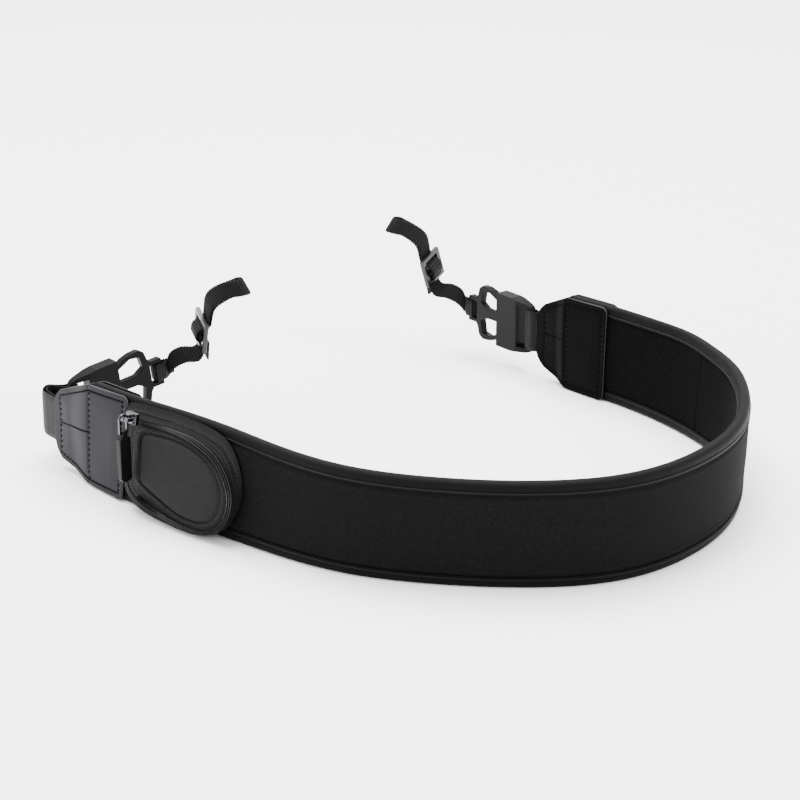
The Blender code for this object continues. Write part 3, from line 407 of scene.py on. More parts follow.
tape, tree, shader = finish("zip_tape_fine", (0.0075, 0.0075, 0.0080), 0.55, shine=0.08)
along, across = stored(tree)
folded = maths(tree, "PINGPONG", across, CHEVRON)
chevrons = wave(tree, maths(tree, "ADD", along, folded), CHEVRON)
tint(tree, shader, chevrons, (0.0030, 0.0030, 0.0032), (0.0130, 0.0130, 0.0135), 0.05, 0.90)
bump(tree, shader, chevrons, 0.40 * MM, 0.9)

nylon, tree, shader = finish("zip_nylon_fine", (0.010, 0.010, 0.010), 0.35, shine=0.30)
# Painted highlights and painted shade: the nylon is lighter on the coil's three ridges and darker in the
# grooves between them.
ridge = wave(tree, stored(tree)[1], COIL_WIDTH / 3)
tint(tree, shader, ridge, (0.0006, 0.0006, 0.0006), (0.0480, 0.0480, 0.0485), 0.1, 0.90)
print("finishes", len(bpy.data.materials))

# %% [markdown]
# The thread is duller than what it sews. The zip's metal is plated and the buckles are moulded, so
# both keep a clear reflection, and a very fine noise takes the glassy look off the plastic.

# %%
# Thread, metal and plastic finishes
thread, _, _ = finish("black_thread", (0.0008, 0.0008, 0.0009), 0.6, shine=0.03)
# The band's thread is lighter than the black thread: a painted highlight, so its dashes read light against
# the groove.
band_thread_painted_highlight, _, _ = finish("band_thread_painted_highlight", (0.0035, 0.0035, 0.0036), 0.45, shine=0.10)
metal, _, _ = finish("bright_metal_fine", (0.085, 0.085, 0.090), 0.22, metallic=1.0)
rubber, _, _ = finish("pull_rubber_fine", (0.0015, 0.0015, 0.0015), 0.40, shine=0.15)
slider_plastic, _, _ = finish("slider_plastic_fine", (0.0040, 0.0040, 0.0042), 0.22, shine=0.25)
plastic, tree, shader = finish("moulded_plastic_fine", (0.0014, 0.0014, 0.0016), 0.28, shine=0.055)
bump(tree, shader, object_noise(tree, 2500.0), 0.04 * MM, 0.3)
print("finishes", len(bpy.data.materials))

# %% [markdown]
# The band is two layers, foam rubber outside and ribbed mesh inside, held by a binding that is folded
# over each edge and sewn down. The needle pulls the layers together, so beside the binding there is a
# groove and then the foam swells in a low ridge. Each section is drawn once as a loop of out and up and
# carried along the strap in steps under a millimetre.

# %%
# Band: foam panel and lining
FACE = 6.5 * MM
LINING_SEAMS = (139 * MM, 572 * MM)
SEAM_DEPTH = 0.45 * MM
TUCK = 1.0 * MM
BACK = 0.15 * MM
ACROSS = 90
GROOVE, GROOVE_WIDTH, PUFF = 0.75 * MM, 0.9 * MM, 0.80 * MM
RIDGE, RIDGE_AT, RIDGE_WIDTH = 0.28 * MM, 2.6 * MM, 1.1 * MM
CROWN, CROWN_WIDTH = 0.30 * MM, 20 * MM
band_at = np.linspace(BAND_START, BAND_END, 900)


def bell(distance, width):
    """A smooth bump: e to the power of minus the square of distance over width."""
    return np.exp(-((distance / width) ** 2))


def panel_profile(up, ridge_share):
    """How far the panel's face stands out: a groove at the binding, a ridge beside it, then a low crown."""
    edge = np.minimum(up, WIDTH - up) - FACE
    rise = 1 - np.exp(-np.clip(edge, 0, None) / GROOVE_WIDTH)
    ridge = RIDGE * bell(edge - RIDGE_AT, RIDGE_WIDTH)
    crown = CROWN * np.clip(edge / CROWN_WIDTH, 0, 1)
    return HALF - GROOVE + PUFF * rise + ridge_share * ridge + crown


def make_panel(name, side, material, ridge_share, seam_depth):
    """One panel: its face in fine steps across, closed by a flat back near the strap's middle."""
    up = np.linspace(FACE - TUCK, WIDTH - FACE + TUCK, ACROSS)
    along = band_at[:, None]
    seams = sum(bell(along - place, 1.1 * MM) for place in LINING_SEAMS)
    ripple = 0.05 * MM * np.sin(along / (17 * MM)) * np.sin(up / (13 * MM) + along / (29 * MM))
    out = panel_profile(up, ridge_share) + ripple - seam_depth * seams
    back_up = up[:: ACROSS // 3][::-1]
    points = np.concatenate([on_strap(along, side * out, up), on_strap(along, side * BACK, back_up)], 1)
    return piece(name, points, material, (along, np.concatenate([up, back_up])))


outer = make_panel("outer_panel_soft", 1, foam, 1.0, 0.0)
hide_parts("outer_panel")
inner = make_panel("lining_panel_soft", -1, lining, 0.5, SEAM_DEPTH)
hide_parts("lining_panel")
print("band", len(band_at), "steps of", round((BAND_END - BAND_START) / len(band_at) / MM, 2), "mm")

# %% [markdown]
# The binding is a strip of cloth folded over the edge. Its fold could be a plain half circle, but a
# sewn strip is pulled flat against both faces, so the circle is squared a little. Two rows of
# stitches hold it on each face, and two seams cross the lining where its pieces meet.

# %%
# Band: bindings and stitches
BINDING = 0.9 * MM
SEAM_UP = FACE - 1.4 * MM
SEAM_PRESS = 0.05 * MM
BAND_STITCH = (3.6 * MM, 0.85 * MM)  # pitch and thickness
LINING_STITCH = (3.0 * MM, 0.55 * MM)


def make_binding(name, top):
    """A strip folded over the edge: squared round outside, and pressed in a little under its stitches.

    Over half a turn, out is the cosine to the power 0.75 and up is one less the sine to the power 0.9.
    """
    turn = np.linspace(0.0, math.pi, 25)
    wrap_out = HALF * np.sign(np.cos(turn)) * np.abs(np.cos(turn)) ** 0.75
    wrap_up = HALF * (1 - np.sin(turn) ** 0.9)
    side = np.linspace(FACE, HALF, 10)[:-1]
    out = np.concatenate([side * 0 + HALF, wrap_out, side * 0 - HALF])
    up = np.concatenate([side, wrap_up, side[::-1]])
    pull = bell(up - SEAM_UP, 0.7 * MM) * (np.abs(out) > HALF * 0.98)
    out = out - np.sign(out) * SEAM_PRESS * pull
    shrink = 1 - BINDING / HALF
    in_out = np.concatenate([[-HALF + BINDING] * 2, wrap_out[::-4] * shrink, [HALF - BINDING] * 2])
    in_up = np.concatenate([[FACE, HALF * 1.2], wrap_up[::-4] * shrink + BINDING, [HALF * 1.2, FACE]])
    outs = np.concatenate([out, in_out])
    ups = np.concatenate([up, in_up])
    along = band_at[:, None]
    points = on_strap(along, outs, WIDTH - ups if top else ups)
    return piece(name, points, binding, (along, np.arange(1, len(ups) + 1) * 0.45 * MM))


for node_name, top in (("top_binding", True), ("bottom_binding", False)):
    made = make_binding(node_name + "_soft", top)
    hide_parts(node_name)

for label, side in (("outer", 1), ("inner", -1)):
    for edge, up in (("low", SEAM_UP), ("high", WIDTH - SEAM_UP)):
        line = on_strap(band_at, side * (HALF + 0.12 * MM), up)
        normals = side * axes(band_at)[2]
        stitches(f"band_stitches_{label}_{edge}", line, normals, band_thread_painted_highlight, *BAND_STITCH)
for number, place in enumerate(LINING_SEAMS):
    across = np.linspace(FACE, WIDTH - FACE, 60)
    line = on_strap(place, -HALF + 0.10 * MM, across)
    stitches(f"lining_seam_{number}", line, -axes(across * 0 + place)[2], thread, *LINING_STITCH)
print("band bound and sewn")

# %% [markdown]
# Each end is closed by two leathers sewn together over the band and the webbing. The outline is a
# bulging end, a taper and a straight part with rounded far corners. It is given as a lower and an
# upper edge at each length, because the taper isn't the same above and below.

# %%
# Leather tabs: outline
TAB_STRAIGHT = 31 * MM
TAPER = {"left": 33 * MM, "right": 22 * MM}
DROP = {"left": 2.7 * MM, "right": 0.3 * MM}
TAB_LEAD = 3 * MM
BULGE = 5.5 * MM
END_HALF = 20 * MM
TAB_INSET = 0.3 * MM
CORNER = 4 * MM
END_CURVE = np.array([(-0.3, 0.35), (-0.2, 0.52), (0.1, 0.74), (0.5, 0.88), (0.85, 0.96), (1.0, 1.0)])
crease_at = {end: TAB_LEAD + taper for end, taper in TAPER.items()}
tab_total = {end: crease + TAB_STRAIGHT for end, crease in crease_at.items()}


def tab_edges(end, length):
    """The tab's lower and upper edge: the end's curve, the taper, the straight part, the far corners."""
    curve = np.interp(length / BULGE, END_CURVE[:, 0], END_CURVE[:, 1]) * END_HALF
    grown = np.clip((length - BULGE) / (crease_at[end] - BULGE), 0, 1)
    full = WIDTH / 2 - TAB_INSET
    half = np.where(length < BULGE, curve, END_HALF + (full - END_HALF) * grown)
    corner = np.clip((length - tab_total[end] + CORNER) / CORNER, 0, 1)
    half = half - CORNER * (1 - np.sqrt(np.clip(1 - corner**2, 0, 1)))
    low = DROP[end] * (1 - grown)
    return WIDTH / 2 - half - low, WIDTH / 2 + half - low


# %% [markdown]
# The leather is 1.4 mm thick, with cut edges rounded by wear. It is pressed down along its stitching,
# a little puffed between, and wavy where the band bends under it. All of these are heights added to
# one face, so the same function can also tell the stitches where the leather's surface is.

# %%
# Leather tabs: surface
LEATHER = 1.4 * MM
MARGIN = 3.4 * MM
SEWN = 0.9 * MM
WEAR = 0.8 * MM
SWELL_START, SWELL_SHORT = 15 * MM, 1.5 * MM
LOW_RISE, SWELL = 2.0 * MM, 2.2 * MM
HELD, CREASED, CROSSED = 0.18 * MM, 0.25 * MM, 0.14 * MM
PUFFED, PUFF_WIDTH, WAVED = 0.45 * MM, 7 * MM, 0.24 * MM
MIDDLE_SHARE = 0.53


def tab_rise(end, length):
    """How far the leather's inner side stands from the strap's middle: low at its end, high on the band."""
    grown = np.clip((length - SWELL_START) / (crease_at[end] - SWELL_START - SWELL_SHORT), 0, 1)
    return LOW_RISE + SWELL * grown * grown * (3 - 2 * grown)


def tab_face(end, length, up):
    """The leather's outer side, and a value that is 0 at its cut edge and 1 inside it.

    The face is pressed down at the seams, creased at the taper, puffed between them and worn at its edge.
    """
    low, high = tab_edges(end, length)
    side_edge = np.minimum(np.minimum(up - low, high - up), tab_total[end] - length)
    from_edge = np.minimum(side_edge, length + 1.4 * MM)
    worn = np.sqrt(np.clip(1 - (1 - np.clip(from_edge / WEAR, 0, 1)) ** 2, 0, 1))
    seam = np.minimum(side_edge - MARGIN, length - BULGE)
    middle = low + MIDDLE_SHARE * (high - low)
    cross = bell(up - middle, SEWN) * (length < crease_at[end])
    crease = bell(length - crease_at[end], SEWN)
    sewn = HELD * bell(seam, SEWN) + CREASED * crease + CROSSED * cross
    puff = PUFFED * np.clip(seam / PUFF_WIDTH, 0, 1) * (1 - 0.7 * crease)
    waves = WAVED * np.sin(length / (7 * MM) + 1.3) * np.sin(up / (8 * MM) + 0.6)
    return tab_rise(end, length) + LEATHER * (0.5 + 0.5 * worn) - sewn + puff + waves * worn, worn


for end in ("left", "right"):
    face, _ = tab_face(end, np.array([tab_total[end] / 2]), np.array([WIDTH / 3]))
    print("leather", end, "stands out", round(float(face[0]) / MM, 1), "mm between its seams")

# %% [markdown]
# Each leather is a closed shell: a face and a back that meet at worn edges. Its points lie closer
# at the edges, where the shape turns fastest. Three seams hold it: one round inside the outline, one
# across it where the taper ends, and one along the taper's middle.

# %%
# Leather tabs: pieces and seams
TAB_ROWS, TAB_COLUMNS = 280, 80
TAB_STITCH = (3.1 * MM, 0.85 * MM)  # pitch and thickness


def closer_at_ends(count, weight):
    """Shares from 0 to 1: even steps mixed by a weight with a cosine's, which lie closer at both ends."""
    even = np.linspace(0.0, 1.0, count)
    return (1 - weight) * even + weight * (1 - np.cos(math.pi * even)) / 2


def make_tab(name, end, side, material):
    """One leather: face, worn edge, back, worn edge, in closed loops from its end to its far corners."""
    first = END_CURVE[0, 0] * BULGE
    length = first + (tab_total[end] - first) * closer_at_ends(TAB_ROWS, 0.3)
    low, high = tab_edges(end, length)
    up = low[:, None] + (high - low)[:, None] * closer_at_ends(TAB_COLUMNS, 0.25)
    outside, worn = tab_face(end, length[:, None], up)
    inside = tab_rise(end, length)[:, None] + LEATHER * 0.4 * (1 - worn)
    along = length if end == "left" else LENGTH - length
    outs = np.concatenate([outside, inside[:, ::-1]], 1) * side
    ups = np.concatenate([up, up[:, ::-1]], 1)
    edge_value = np.concatenate([worn, worn[:, ::-1]], 1)
    return piece(name, on_strap(along[:, None], outs, ups, 0.1 * MM), material, (edge_value, 0.0))


def tab_seams(end):
    """The three seams as lengths and heights: round inside the outline, across it, along the taper."""
    run = np.linspace(BULGE, tab_total[end] - MARGIN, 160)
    low, high = tab_edges(end, run)
    low, high = low + MARGIN, high - MARGIN
    near = np.linspace(low[0], high[0], 40)
    far = np.linspace(high[-1], low[-1], 40)
    at = np.concatenate([run[::-1], near * 0 + run[0], run, far * 0 + run[-1]])
    up = np.concatenate([low[::-1], near, high, far])
    across_at = crease_at[end] + 1.0 * MM
    crossing = np.linspace(np.interp(across_at, run, low), np.interp(across_at, run, high), 60)
    half_way = np.linspace(run[0], across_at, 60)
    low_edge, high_edge = tab_edges(end, half_way)
    middle = low_edge + MIDDLE_SHARE * (high_edge - low_edge)
    return [(at, up), (crossing * 0 + across_at, crossing), (half_way, middle)]


for end in ("left", "right"):
    for label, side, material in (("outer", 1, leather), ("inner", -1, inner_leather)):
        made = make_tab(f"tab_{label}_{end}_soft", end, side, material)
        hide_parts(f"tab_{label}_{end}")
        for number, (at, up) in enumerate(tab_seams(end)):
            out = side * (tab_face(end, at, up)[0] + 0.22 * MM)
            along = at if end == "left" else LENGTH - at
            line = on_strap(along, out, up, 0.5 * MM)
            name = f"tab_stitches_{label}_{end}_{number}"
            stitches(name, line, side * axes(along)[2], thread, *TAB_STITCH)
print("tabs", TAB_ROWS * TAB_COLUMNS * 2, "points each")

# %% [markdown]
# The webbings are flat woven straps with a set route round bars and through a slider. That route is
# in the CAD solids, as a chain of four-cornered sections, so it needs no second list of points here.
# Walking the solid's edges from one end cap gives the sections back in order.

# %%
# Webbing sections from the CAD solids


def merged(node_name):
    """The CAD node's triangles as one joined mesh."""
    built = bmesh.new()
    built.from_mesh(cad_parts[node_name].data)
    bmesh.ops.remove_doubles(built, verts=built.verts, dist=0.02 * MM)
    built.verts.ensure_lookup_table()
    return built


def cap_sets(links, start):
    """Sets of four near points whose other neighbours are just four more: an end of the chain."""
    near = set().union(*[links[i] for i in links[start]]) - {start}
    for trio in combinations(sorted(near), 3):
        group = {start, *trio}
        beyond = set().union(*[links[i] for i in group]) - group
        if len(beyond) == 4:
            yield [start, *trio]


def matched(points, level, following):
    """The next section's corners in the same order as this one's, by the order that fits best."""
    if len(following) != 4:
        return []
    here = points[level] - points[level].mean(0)
    options = list(permutations(following))
    there = points[np.array(options)]
    there = there - there.mean(1)[:, None]
    return list(options[int(np.argmin(((there - here) ** 2).sum((1, 2))))])


def sections_of(node_name):
    """The four corners of each section, from one end cap to the other."""
    built = merged(node_name)
    links = [{e.other_vert(v).index for e in v.link_edges} for v in built.verts]
    points = np.array([v.co for v in built.verts])
    built.free()
    fewest_first = np.argsort([len(near) for near in links])
    level = next(cap for i in fewest_first for cap in cap_sets(links, int(i)))
    order, seen = [], set(level)
    while level:
        order.append(level)
        following = set().union(*[links[i] for i in level]) - seen
        seen |= following
        level = matched(points, level, following)
    return points[np.array(order)]


# %% [markdown]
# A smooth curve through the sections is swept with a finer section, rounded at both edges. The thin
# webbing gets cross ribs that let it grip in a slider. The loop beside the left tab is slack, and
# stands further out than the CAD solid does.

# %%
# Webbings
FOLD = {"left": 11 * MM, "right": 0.0}
SECTION_POINTS = 14


def smooth_between(rows, step):
    """Rows of numbers read every step of length along their first three, and those lengths.

    Between two rows the curve is the cubic that meets both with the slopes there.
    """
    rows = np.asarray(rows, float)
    travelled = np.concatenate([[0.0], np.cumsum(np.linalg.norm(np.diff(rows[:, :3], axis=0), axis=1))])
    wanted = np.linspace(0, travelled[-1], int(travelled[-1] / step))
    slope = np.gradient(rows, travelled, axis=0)
    i = np.clip(np.searchsorted(travelled, wanted) - 1, 0, len(rows) - 2)
    gap = travelled[i + 1] - travelled[i]
    t = ((wanted - travelled[i]) / gap)[:, None]
    gap = gap[:, None]
    h = [2 * t**3 - 3 * t**2 + 1, t**3 - 2 * t**2 + t, -2 * t**3 + 3 * t**2, t**3 - t**2]
    return h[0] * rows[i] + h[1] * gap * slope[i] + h[2] * rows[i + 1] + h[3] * gap * slope[i + 1], wanted


def slack(centre, end):
    """How far each section moves out between the tab and the buckle's bar: most half way between them.

    It starts 2 mm inside the tab and 5 mm from the bar, and is full 6 mm and 9 mm further on.
    """
    foot, ahead, _, _ = axes(0.0 if end == "left" else LENGTH)
    away = ahead * (-1 if end == "left" else 1)
    beyond = (centre - foot) @ away
    from_bar = np.linalg.norm(centre - centre[len(centre) // 2], axis=1)
    share = np.clip((beyond + 2 * MM) / (6 * MM), 0, 1) * np.clip((from_bar - 5 * MM) / (9 * MM), 0, 1)
    share = share * share * (3 - 2 * share)
    return FOLD[end] * share[:, None] * away


def make_strap(node_name, material, end=None, rib=0.0, step=0.5 * MM):
    """A webbing: the sections' middles smoothed, and a rounded section with an optional ribbed face."""
    corners = sections_of(node_name)
    if end:
        corners = corners + slack(corners.mean(1), end)[:, None]
    sides = [corners[:, k] - corners[:, 0] for k in (1, 2, 3)]
    lengths = [np.linalg.norm(s, axis=1).mean() for s in sides]
    thin, wide = (int(k) for k in np.argsort(lengths)[:2])
    width, thickness = lengths[wide], lengths[thin]
    rows, travelled = smooth_between(np.hstack([corners.mean(1), sides[wide]]), step)
    line = rows[:, :3]
    across = rows[:, 3:] / np.linalg.norm(rows[:, 3:], axis=1)[:, None]
    ahead = np.gradient(line, axis=0)
    ahead = ahead / np.linalg.norm(ahead, axis=1)[:, None]
    flat = np.cross(ahead, across)
    flat = flat / np.linalg.norm(flat, axis=1)[:, None]
    there = np.linspace(-1, 1, SECTION_POINTS)
    w = np.concatenate([there, there[::-1]])
    sign = np.concatenate([np.ones(SECTION_POINTS), -np.ones(SECTION_POINTS)])
    rounded = sign * (0.35 + 0.65 * np.sqrt(np.clip(1 - np.abs(w) ** 8, 0, 1)))
    swell = 1 - rib + rib * np.abs(np.sin(math.pi * travelled / RIB_PITCH))[:, None] * 2
    t = rounded * (np.clip(swell, 0, 1.15) if rib else 1.0)
    saw = 1 - 0.3 * rib * np.cos(math.pi * travelled / RIB_PITCH)[:, None, None] ** 2
    points = line[:, None] + w[None, :, None] * saw * (width / 2) * across[:, None]
    points = points + (t * thickness / 2)[..., None] * flat[:, None]
    # Shifted by a quarter rib, so the ribbed finish's painted light falls on the rib crests.
    lay = (travelled[:, None] - RIB_PITCH / 4, w * width / 2)
    made = piece(node_name + "_soft", points, material, lay)
    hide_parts(node_name)
    print(node_name, len(corners), "sections", round(width / MM, 1), "x", round(thickness / MM, 2))
    return made


for end in ("left", "right"):
    make_strap(f"buckle_webbing_{end}", webbing, end)
    make_strap(f"lug_webbing_{end}", ribbed, rib=0.30, step=0.22 * MM)

# %% [markdown]
# Buckles, sliders and the zip's metal are moulded or cast, so their edges are rounded. A joined copy of
# the CAD solid gets a narrow bevel on its sharp edges, which catches the light as the real edges do.

# %%
# Hard pieces
HARD_SHARP = 35


def bevelled(node_name, material, width, body="strap"):
    """A joined copy of the CAD node with rounded edges."""
    built = merged(node_name)
    bmesh.ops.dissolve_limit(built, angle_limit=math.radians(1), verts=built.verts, edges=built.edges)
    mesh = bpy.data.meshes.new(node_name + "_fine")
    built.to_mesh(mesh)
    built.free()
    made = finished(node_name + "_fine", mesh, material, HARD_SHARP, body)
    edge = made.modifiers.new("rounded", "BEVEL")
    edge.width = width
    edge.segments = 3
    edge.limit_method = "ANGLE"
    edge.angle_limit = math.radians(HARD_SHARP)
    edge.harden_normals = True
    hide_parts(node_name)
    return made


for end in ("left", "right"):
    for kind in ("buckle_female", "buckle_male"):
        bevelled(f"{kind}_{end}", plastic, 0.45 * MM)
    bevelled(f"lug_slider_{end}", slider_plastic, 0.45 * MM)
bevelled("zip_slider", metal, 0.25 * MM)
bevelled("pull_link", metal, 0.30 * MM, "zip_pull")
bevelled("pull_tab", rubber, 0.50 * MM, "zip_pull")

# %% [markdown]
# The pocket is a shallow box sewn to the outer face: a sloping wall of foam and zip tape, and a domed
# panel with a rolled edge. Its foot and the panel's rim are smooth loops through a few points each,
# given as shares of a box and read off the photo's view of the face.

# %%
# Pocket outlines
POCKET_OUTLINE = np.array([
    (0.00, 0.97), (0.30, 1.00), (0.60, 0.99), (0.80, 0.95), (0.91, 0.85), (0.98, 0.68),
    (1.00, 0.50), (0.97, 0.32), (0.90, 0.16), (0.78, 0.05), (0.60, 0.00), (0.35, 0.01),
    (0.15, 0.06), (0.03, 0.18), (0.00, 0.40), (0.00, 0.70),
])
PANEL_OUTLINE = np.array([
    (0.01, 0.94), (0.20, 0.99), (0.40, 1.00), (0.60, 0.97), (0.80, 0.88), (0.93, 0.74),
    (1.00, 0.54), (0.99, 0.34), (0.92, 0.15), (0.80, 0.03), (0.66, 0.00), (0.50, 0.02),
    (0.32, 0.10), (0.13, 0.21), (0.02, 0.31), (0.00, 0.60),
])
POCKET_BOX = np.array([69.0, 0.8, 86.0, 56.0]) * MM  # start, bottom, length, height
PANEL_BOX = np.array([84.5, 5.0, 66.5, 42.5]) * MM
AROUND = 520


def smooth_loop(outline, box, count):
    """A closed smooth curve through a few points, read at even steps, and the length travelled at each.

    Between two points it is the cubic that leaves each one parallel to the line between its neighbours.
    """
    knots = outline * box[2:] + box[:2]
    steps = np.arange(0, len(knots), 1 / 16)
    i = np.floor(steps).astype(int)
    t = (steps - i)[:, None]
    a, b, c, d = (knots[(i + k) % len(knots)] for k in (-1, 0, 1, 2))
    fine = 0.5 * (2 * b + (c - a) * t + (2 * a - 5 * b + 4 * c - d) * t**2 + (3 * b - a - 3 * c + d) * t**3)
    fine = np.vstack([fine, fine[:1]])
    travelled = np.concatenate([[0.0], np.cumsum(np.linalg.norm(np.diff(fine, axis=0), axis=1))])
    wanted = np.arange(count) / count * travelled[-1]
    return np.stack([np.interp(wanted, travelled, fine[:, k]) for k in (0, 1)], 1), wanted


foot_line, foot_at = smooth_loop(POCKET_OUTLINE, POCKET_BOX, AROUND)
rim_line, rim_at = smooth_loop(PANEL_OUTLINE, PANEL_BOX, AROUND)
centre = rim_line.mean(0)
print("pocket foot", round(foot_at[-1] / MM), "mm round, rim", round(rim_at[-1] / MM), "mm round")

# %% [markdown]
# The wall climbs steeply from its foot and rolls over to the rim, and it sags a little, as a filled
# pocket does. Its height over the way in is a short table, smoothed by an average over near shares.
# Two shallow grooves show where the tapes are sewn.

# %%
# Pocket wall
POCKET_FACE = 3.9 * MM
POCKET_DEPTH = 8.5 * MM
SAG = 3.0 * MM
WALL_THICKNESS = 1.0 * MM
WALL = np.array([  # share of the way in, share of the depth, share of the sag
    (0.0, 0.0, 0.0), (0.06, 0.42, 0.8), (0.30, 0.74, 1.0), (0.65, 0.93, 0.6), (1.0, 1.0, 0.0),
])
TAPE_SEAMS = (0.12, 0.50)


def wall_point(share, lift=0.0):
    """The wall at shares of the way from foot to rim, lifted off its surface: along, out, up."""
    share = np.asarray(share, float)
    depth = np.interp(share, WALL[:, 0], WALL[:, 1])
    sag = SAG * np.interp(share, WALL[:, 0], WALL[:, 2])
    line = foot_line[:, None] + (rim_line - foot_line)[:, None] * share[None, :, None]
    out = POCKET_FACE + POCKET_DEPTH * depth + lift
    return line[..., 0], np.broadcast_to(out, line.shape[:2]), line[..., 1] - sag


shares = np.linspace(0, 1, 40)
along, _, up = wall_point(shares)
near_shares = np.clip(shares[:, None] + np.linspace(-0.06, 0.06, 7), 0, 1)
depth = np.interp(near_shares, WALL[:, 0], WALL[:, 1]).mean(1)
grooves = 0.35 * MM * sum(bell(shares - place, 0.02) for place in TAPE_SEAMS)
out = np.broadcast_to(POCKET_FACE + POCKET_DEPTH * depth - grooves, along.shape)
under_along, under_up = along[:, ::-6], up[:, ::-6]
under_out = np.maximum(out[:, ::-6] - WALL_THICKNESS, POCKET_FACE)
inward = centre - np.stack([under_along, under_up], -1)
inward = inward / np.linalg.norm(inward, axis=-1)[..., None] * WALL_THICKNESS
alongs = np.concatenate([along, under_along + inward[..., 0]], 1)
ups = np.concatenate([up, under_up + inward[..., 1]], 1)
outs = np.concatenate([out, under_out], 1)
lay = (foot_at[:, None], np.concatenate([shares, shares[::-6]]) * 16 * MM)
wall = piece("pocket_wall_soft", on_strap(alongs, outs, ups, 0.35 * MM), tape, lay, ring=True)
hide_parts("pocket_wall")
print("wall", alongs.shape)

# %% [markdown]
# The panel is a padded lid. Its rim is rolled under at the wall's top, and from there it rises in a
# step beside the tape and then slowly to the middle. Rings of points from the rim towards the centre
# carry that profile round the lid.

# %%
# Pocket panel
PANEL_FACE = POCKET_FACE + POCKET_DEPTH + 0.3 * MM
DOME = np.array([  # share of the way from the rim to the centre, height over the panel's face in mm
    (0.08, -0.8), (0.01, -0.8), (-0.005, -0.4), (0.0, 0.0), (0.02, 0.2), (0.05, 0.35), (0.10, 0.4),
    (0.12, 0.5), (0.145, 1.2), (0.18, 1.8), (0.26, 2.4), (0.42, 3.0), (0.68, 3.6), (0.93, 3.9),
])
RIM_ROW = 3  # the row of DOME at the rim itself

fine = np.linspace(0, len(DOME) - 1, 90)
dome_share, dome_high = (np.interp(fine, np.arange(len(DOME)), DOME[:, k]) for k in (0, 1))
rings = rim_line[None] + (centre - rim_line)[None] * dome_share[:, None, None]
dome_out = PANEL_FACE + dome_high[:, None] * MM
panel = piece("pocket_panel_soft", on_strap(rings[..., 0], dome_out, rings[..., 1], 0.4 * MM), panel_foam)
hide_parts("pocket_panel")
print("panel", rings.shape)

# %% [markdown]
# The zip's inner tape is sewn over the panel's edge. Its woven edge waves a little between the
# stitches, and throws a thin shadow on the panel. It has no solid of its own in the CAD part.

# %%
# Inner tape over the panel's edge
TAPE_SHARES = [0.80, 0.84, 0.90, 0.95, 1.0, 1.03, 1.06, 1.085, 1.10, 1.11]  # past 1: over the panel
TAPE_LIFTS = np.array([-0.2, 0.1, 0.3, 0.4, 0.5, 0.6, 0.6, 0.4, 0.2, -0.1]) * MM
TAPE_TOP, TAPE_UNDER = 0.25 * MM, -0.35 * MM


def tape_line(share, rise):
    """A line round the wall's top, or past share 1 over the panel's edge: along, out, up.

    The last shares sway by a tenth of their own width, as a sine with a period of 2.8 mm.
    """
    if share <= 1:
        along, out, up = wall_point([share], rise)
        return along[:, 0], out[:, 0], up[:, 0]
    sway = 0.10 * np.sin(math.tau * rim_at / (2.8 * MM)) * (share > 1.07)
    line = rim_line + (centre - rim_line) * ((share - 1) * (1 + sway))[:, None]
    high = np.interp(share - 1, DOME[RIM_ROW:, 0], DOME[RIM_ROW:, 1]) * MM
    return line[:, 0], np.full(AROUND, PANEL_FACE + high + rise), line[:, 1]


lines = [tape_line(share, TAPE_TOP + lift) for share, lift in zip(TAPE_SHARES, TAPE_LIFTS)]
lines += [tape_line(share, TAPE_UNDER) for share in TAPE_SHARES[::-1]]
along, out, up = np.array(lines).transpose(1, 2, 0)
lay = (rim_at[:, None], np.linspace(0, 9 * MM, len(lines)))
inner_tape = piece("zip_inner_tape", on_strap(along, out, up, 0.4 * MM), tape, lay, ring=True)
print("inner tape", along.shape)

# %% [markdown]
# A closed nylon zip seen from its back is a row of tight turns with a smooth ridge at each side. The
# coil here is one strip with three ridges across, and a wave along them for the turns.

# %%
# Zip coil and the pocket's stitching
COIL_AT = 0.65
COIL_REACH = 0.12
COIL_HEIGHT = 1.6 * MM
COIL_STEP = 0.16 * MM
TURN_PITCH = 1.15 * MM
POCKET_SEAMS = (0.16, 0.50)
POCKET_STITCH = (2.4 * MM, 0.45 * MM)  # pitch and thickness


def wall_line(share, lift, start=0.03, end=0.80):
    """A line on the wall at one share, with its outward directions."""
    along, out, up = (values[:, 0] for values in wall_point([share], lift))
    pick = slice(int(start * AROUND), int(end * AROUND))
    return on_strap(along[pick], out[pick], up[pick], 0.5 * MM), axes(along[pick])[2]


low_edge, normal = wall_line(COIL_AT - COIL_REACH, 0.45 * MM)
high_edge, _ = wall_line(COIL_AT + COIL_REACH, 0.45 * MM)
both, ahead = evenly(np.hstack([(low_edge + high_edge) / 2, high_edge - low_edge, normal]), COIL_STEP)
travelled = np.arange(len(both)) * COIL_STEP
across = both[:, 3:6] / np.linalg.norm(both[:, 3:6], axis=1)[:, None]
rise = np.cross(across, ahead)
rise = rise * np.sign((rise * both[:, 6:]).sum(1))[:, None]
x = np.linspace(-1, 1, 21)
ridges = 0.12 + 0.88 * np.abs(np.cos(1.5 * math.pi * x)) ** 0.7
turns = 0.72 + 0.28 * np.sin(math.tau * travelled / TURN_PITCH)[:, None]
height = np.concatenate([COIL_HEIGHT * ridges * turns, np.zeros((len(both), 3))], 1)
from_middle = np.concatenate([x, [1.0, 0.0, -1.0]]) * COIL_WIDTH / 2
coil_points = both[:, None, :3] + from_middle[None, :, None] * across[:, None]
coil_points = coil_points + height[..., None] * rise[:, None]
# The offset of a twelfth of the coil's width puts the nylon's painted ridge highlights on the coil's
# ridges.
lay = (travelled[:, None], from_middle + COIL_WIDTH / 12)
coil = piece("zip_coil_fine", coil_points, nylon, lay)
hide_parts("zip_coil")
for number, share in enumerate(POCKET_SEAMS):
    line, normal = wall_line(share, 0.05 * MM, 0.02, 0.86)
    stitches(f"pocket_stitches_{number}", line, normal, thread, *POCKET_STITCH)
print("coil", round(travelled[-1] / MM), "mm long")

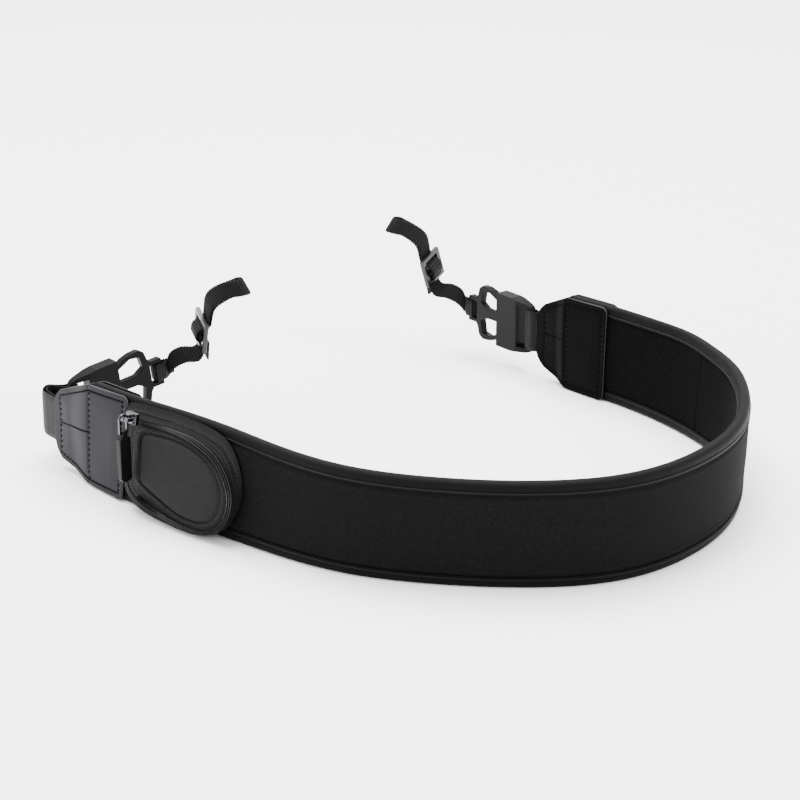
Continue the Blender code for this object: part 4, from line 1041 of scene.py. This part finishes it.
# %% [markdown]
# The photo is lit like a product shot: white paper under and behind, wide soft light from above and
# from both sides. White paper does most of the work, as the grey shine on the left leather is the
# paper's own reflection.

# %%
# Floor and light
LAMPS = (
    ("top", (-0.2, 0.5, 2.2), 2.2, 250),
    ("left", (-2.0, -1.0, 1.0), 1.2, 22),
    ("right", (2.0, -0.8, 1.2), 1.2, 45),
)
LAMP_AIM = np.array([0.0, 0.0, 0.03])
SKY_STRENGTH = 1.9

bpy.ops.mesh.primitive_plane_add(size=12.0, location=(0.0, 0.0, 0.0))
floor = bpy.context.active_object
floor.name = "floor"
floor.data.materials.append(finish("white_paper", (0.92, 0.92, 0.92), 0.9)[0])

for name, place, size, power in LAMPS:
    light = bpy.data.lights.new(name, "AREA")
    light.size = size
    light.energy = power
    made = bpy.data.objects.new(name, light)
    bpy.context.scene.collection.objects.link(made)
    made.location = place
    aim = LAMP_AIM - np.array(place)
    pitch = math.acos(-aim[2] / np.linalg.norm(aim))
    made.rotation_euler = (pitch, 0.0, math.atan2(-aim[0], aim[1]))

world = bpy.data.worlds.new("studio")
world.use_nodes = True
world.node_tree.nodes["Background"].inputs["Color"].default_value = (1.0, 1.0, 1.0, 1.0)
world.node_tree.nodes["Background"].inputs["Strength"].default_value = SKY_STRENGTH
bpy.context.scene.world = world
print("lamps", len(LAMPS))

# %% [markdown]
# The camera stands where the photo's stood: a long lens, a little over a metre away, looking down at
# the strap by 20 degrees.

# %%
# Camera
EYE = (0.00257, -1.25261, 0.487)
LOOK_DOWN = 20.0

view = bpy.data.cameras.new("camera")
view.lens = 108.0
view.sensor_width = 36.0
eye = bpy.data.objects.new("camera", view)
bpy.context.scene.collection.objects.link(eye)
eye.location = EYE
eye.rotation_euler = (math.radians(90.0 - LOOK_DOWN), 0.0, 0.0)
bpy.context.scene.camera = eye
print("camera at", EYE)

# %% [markdown]
# Other parts are placed by the CAD part's box, so the dressed strap shouldn't outgrow it by more than
# a few millimetres.

# %%
# The view layer brought up to date
bpy.context.view_layer.update()
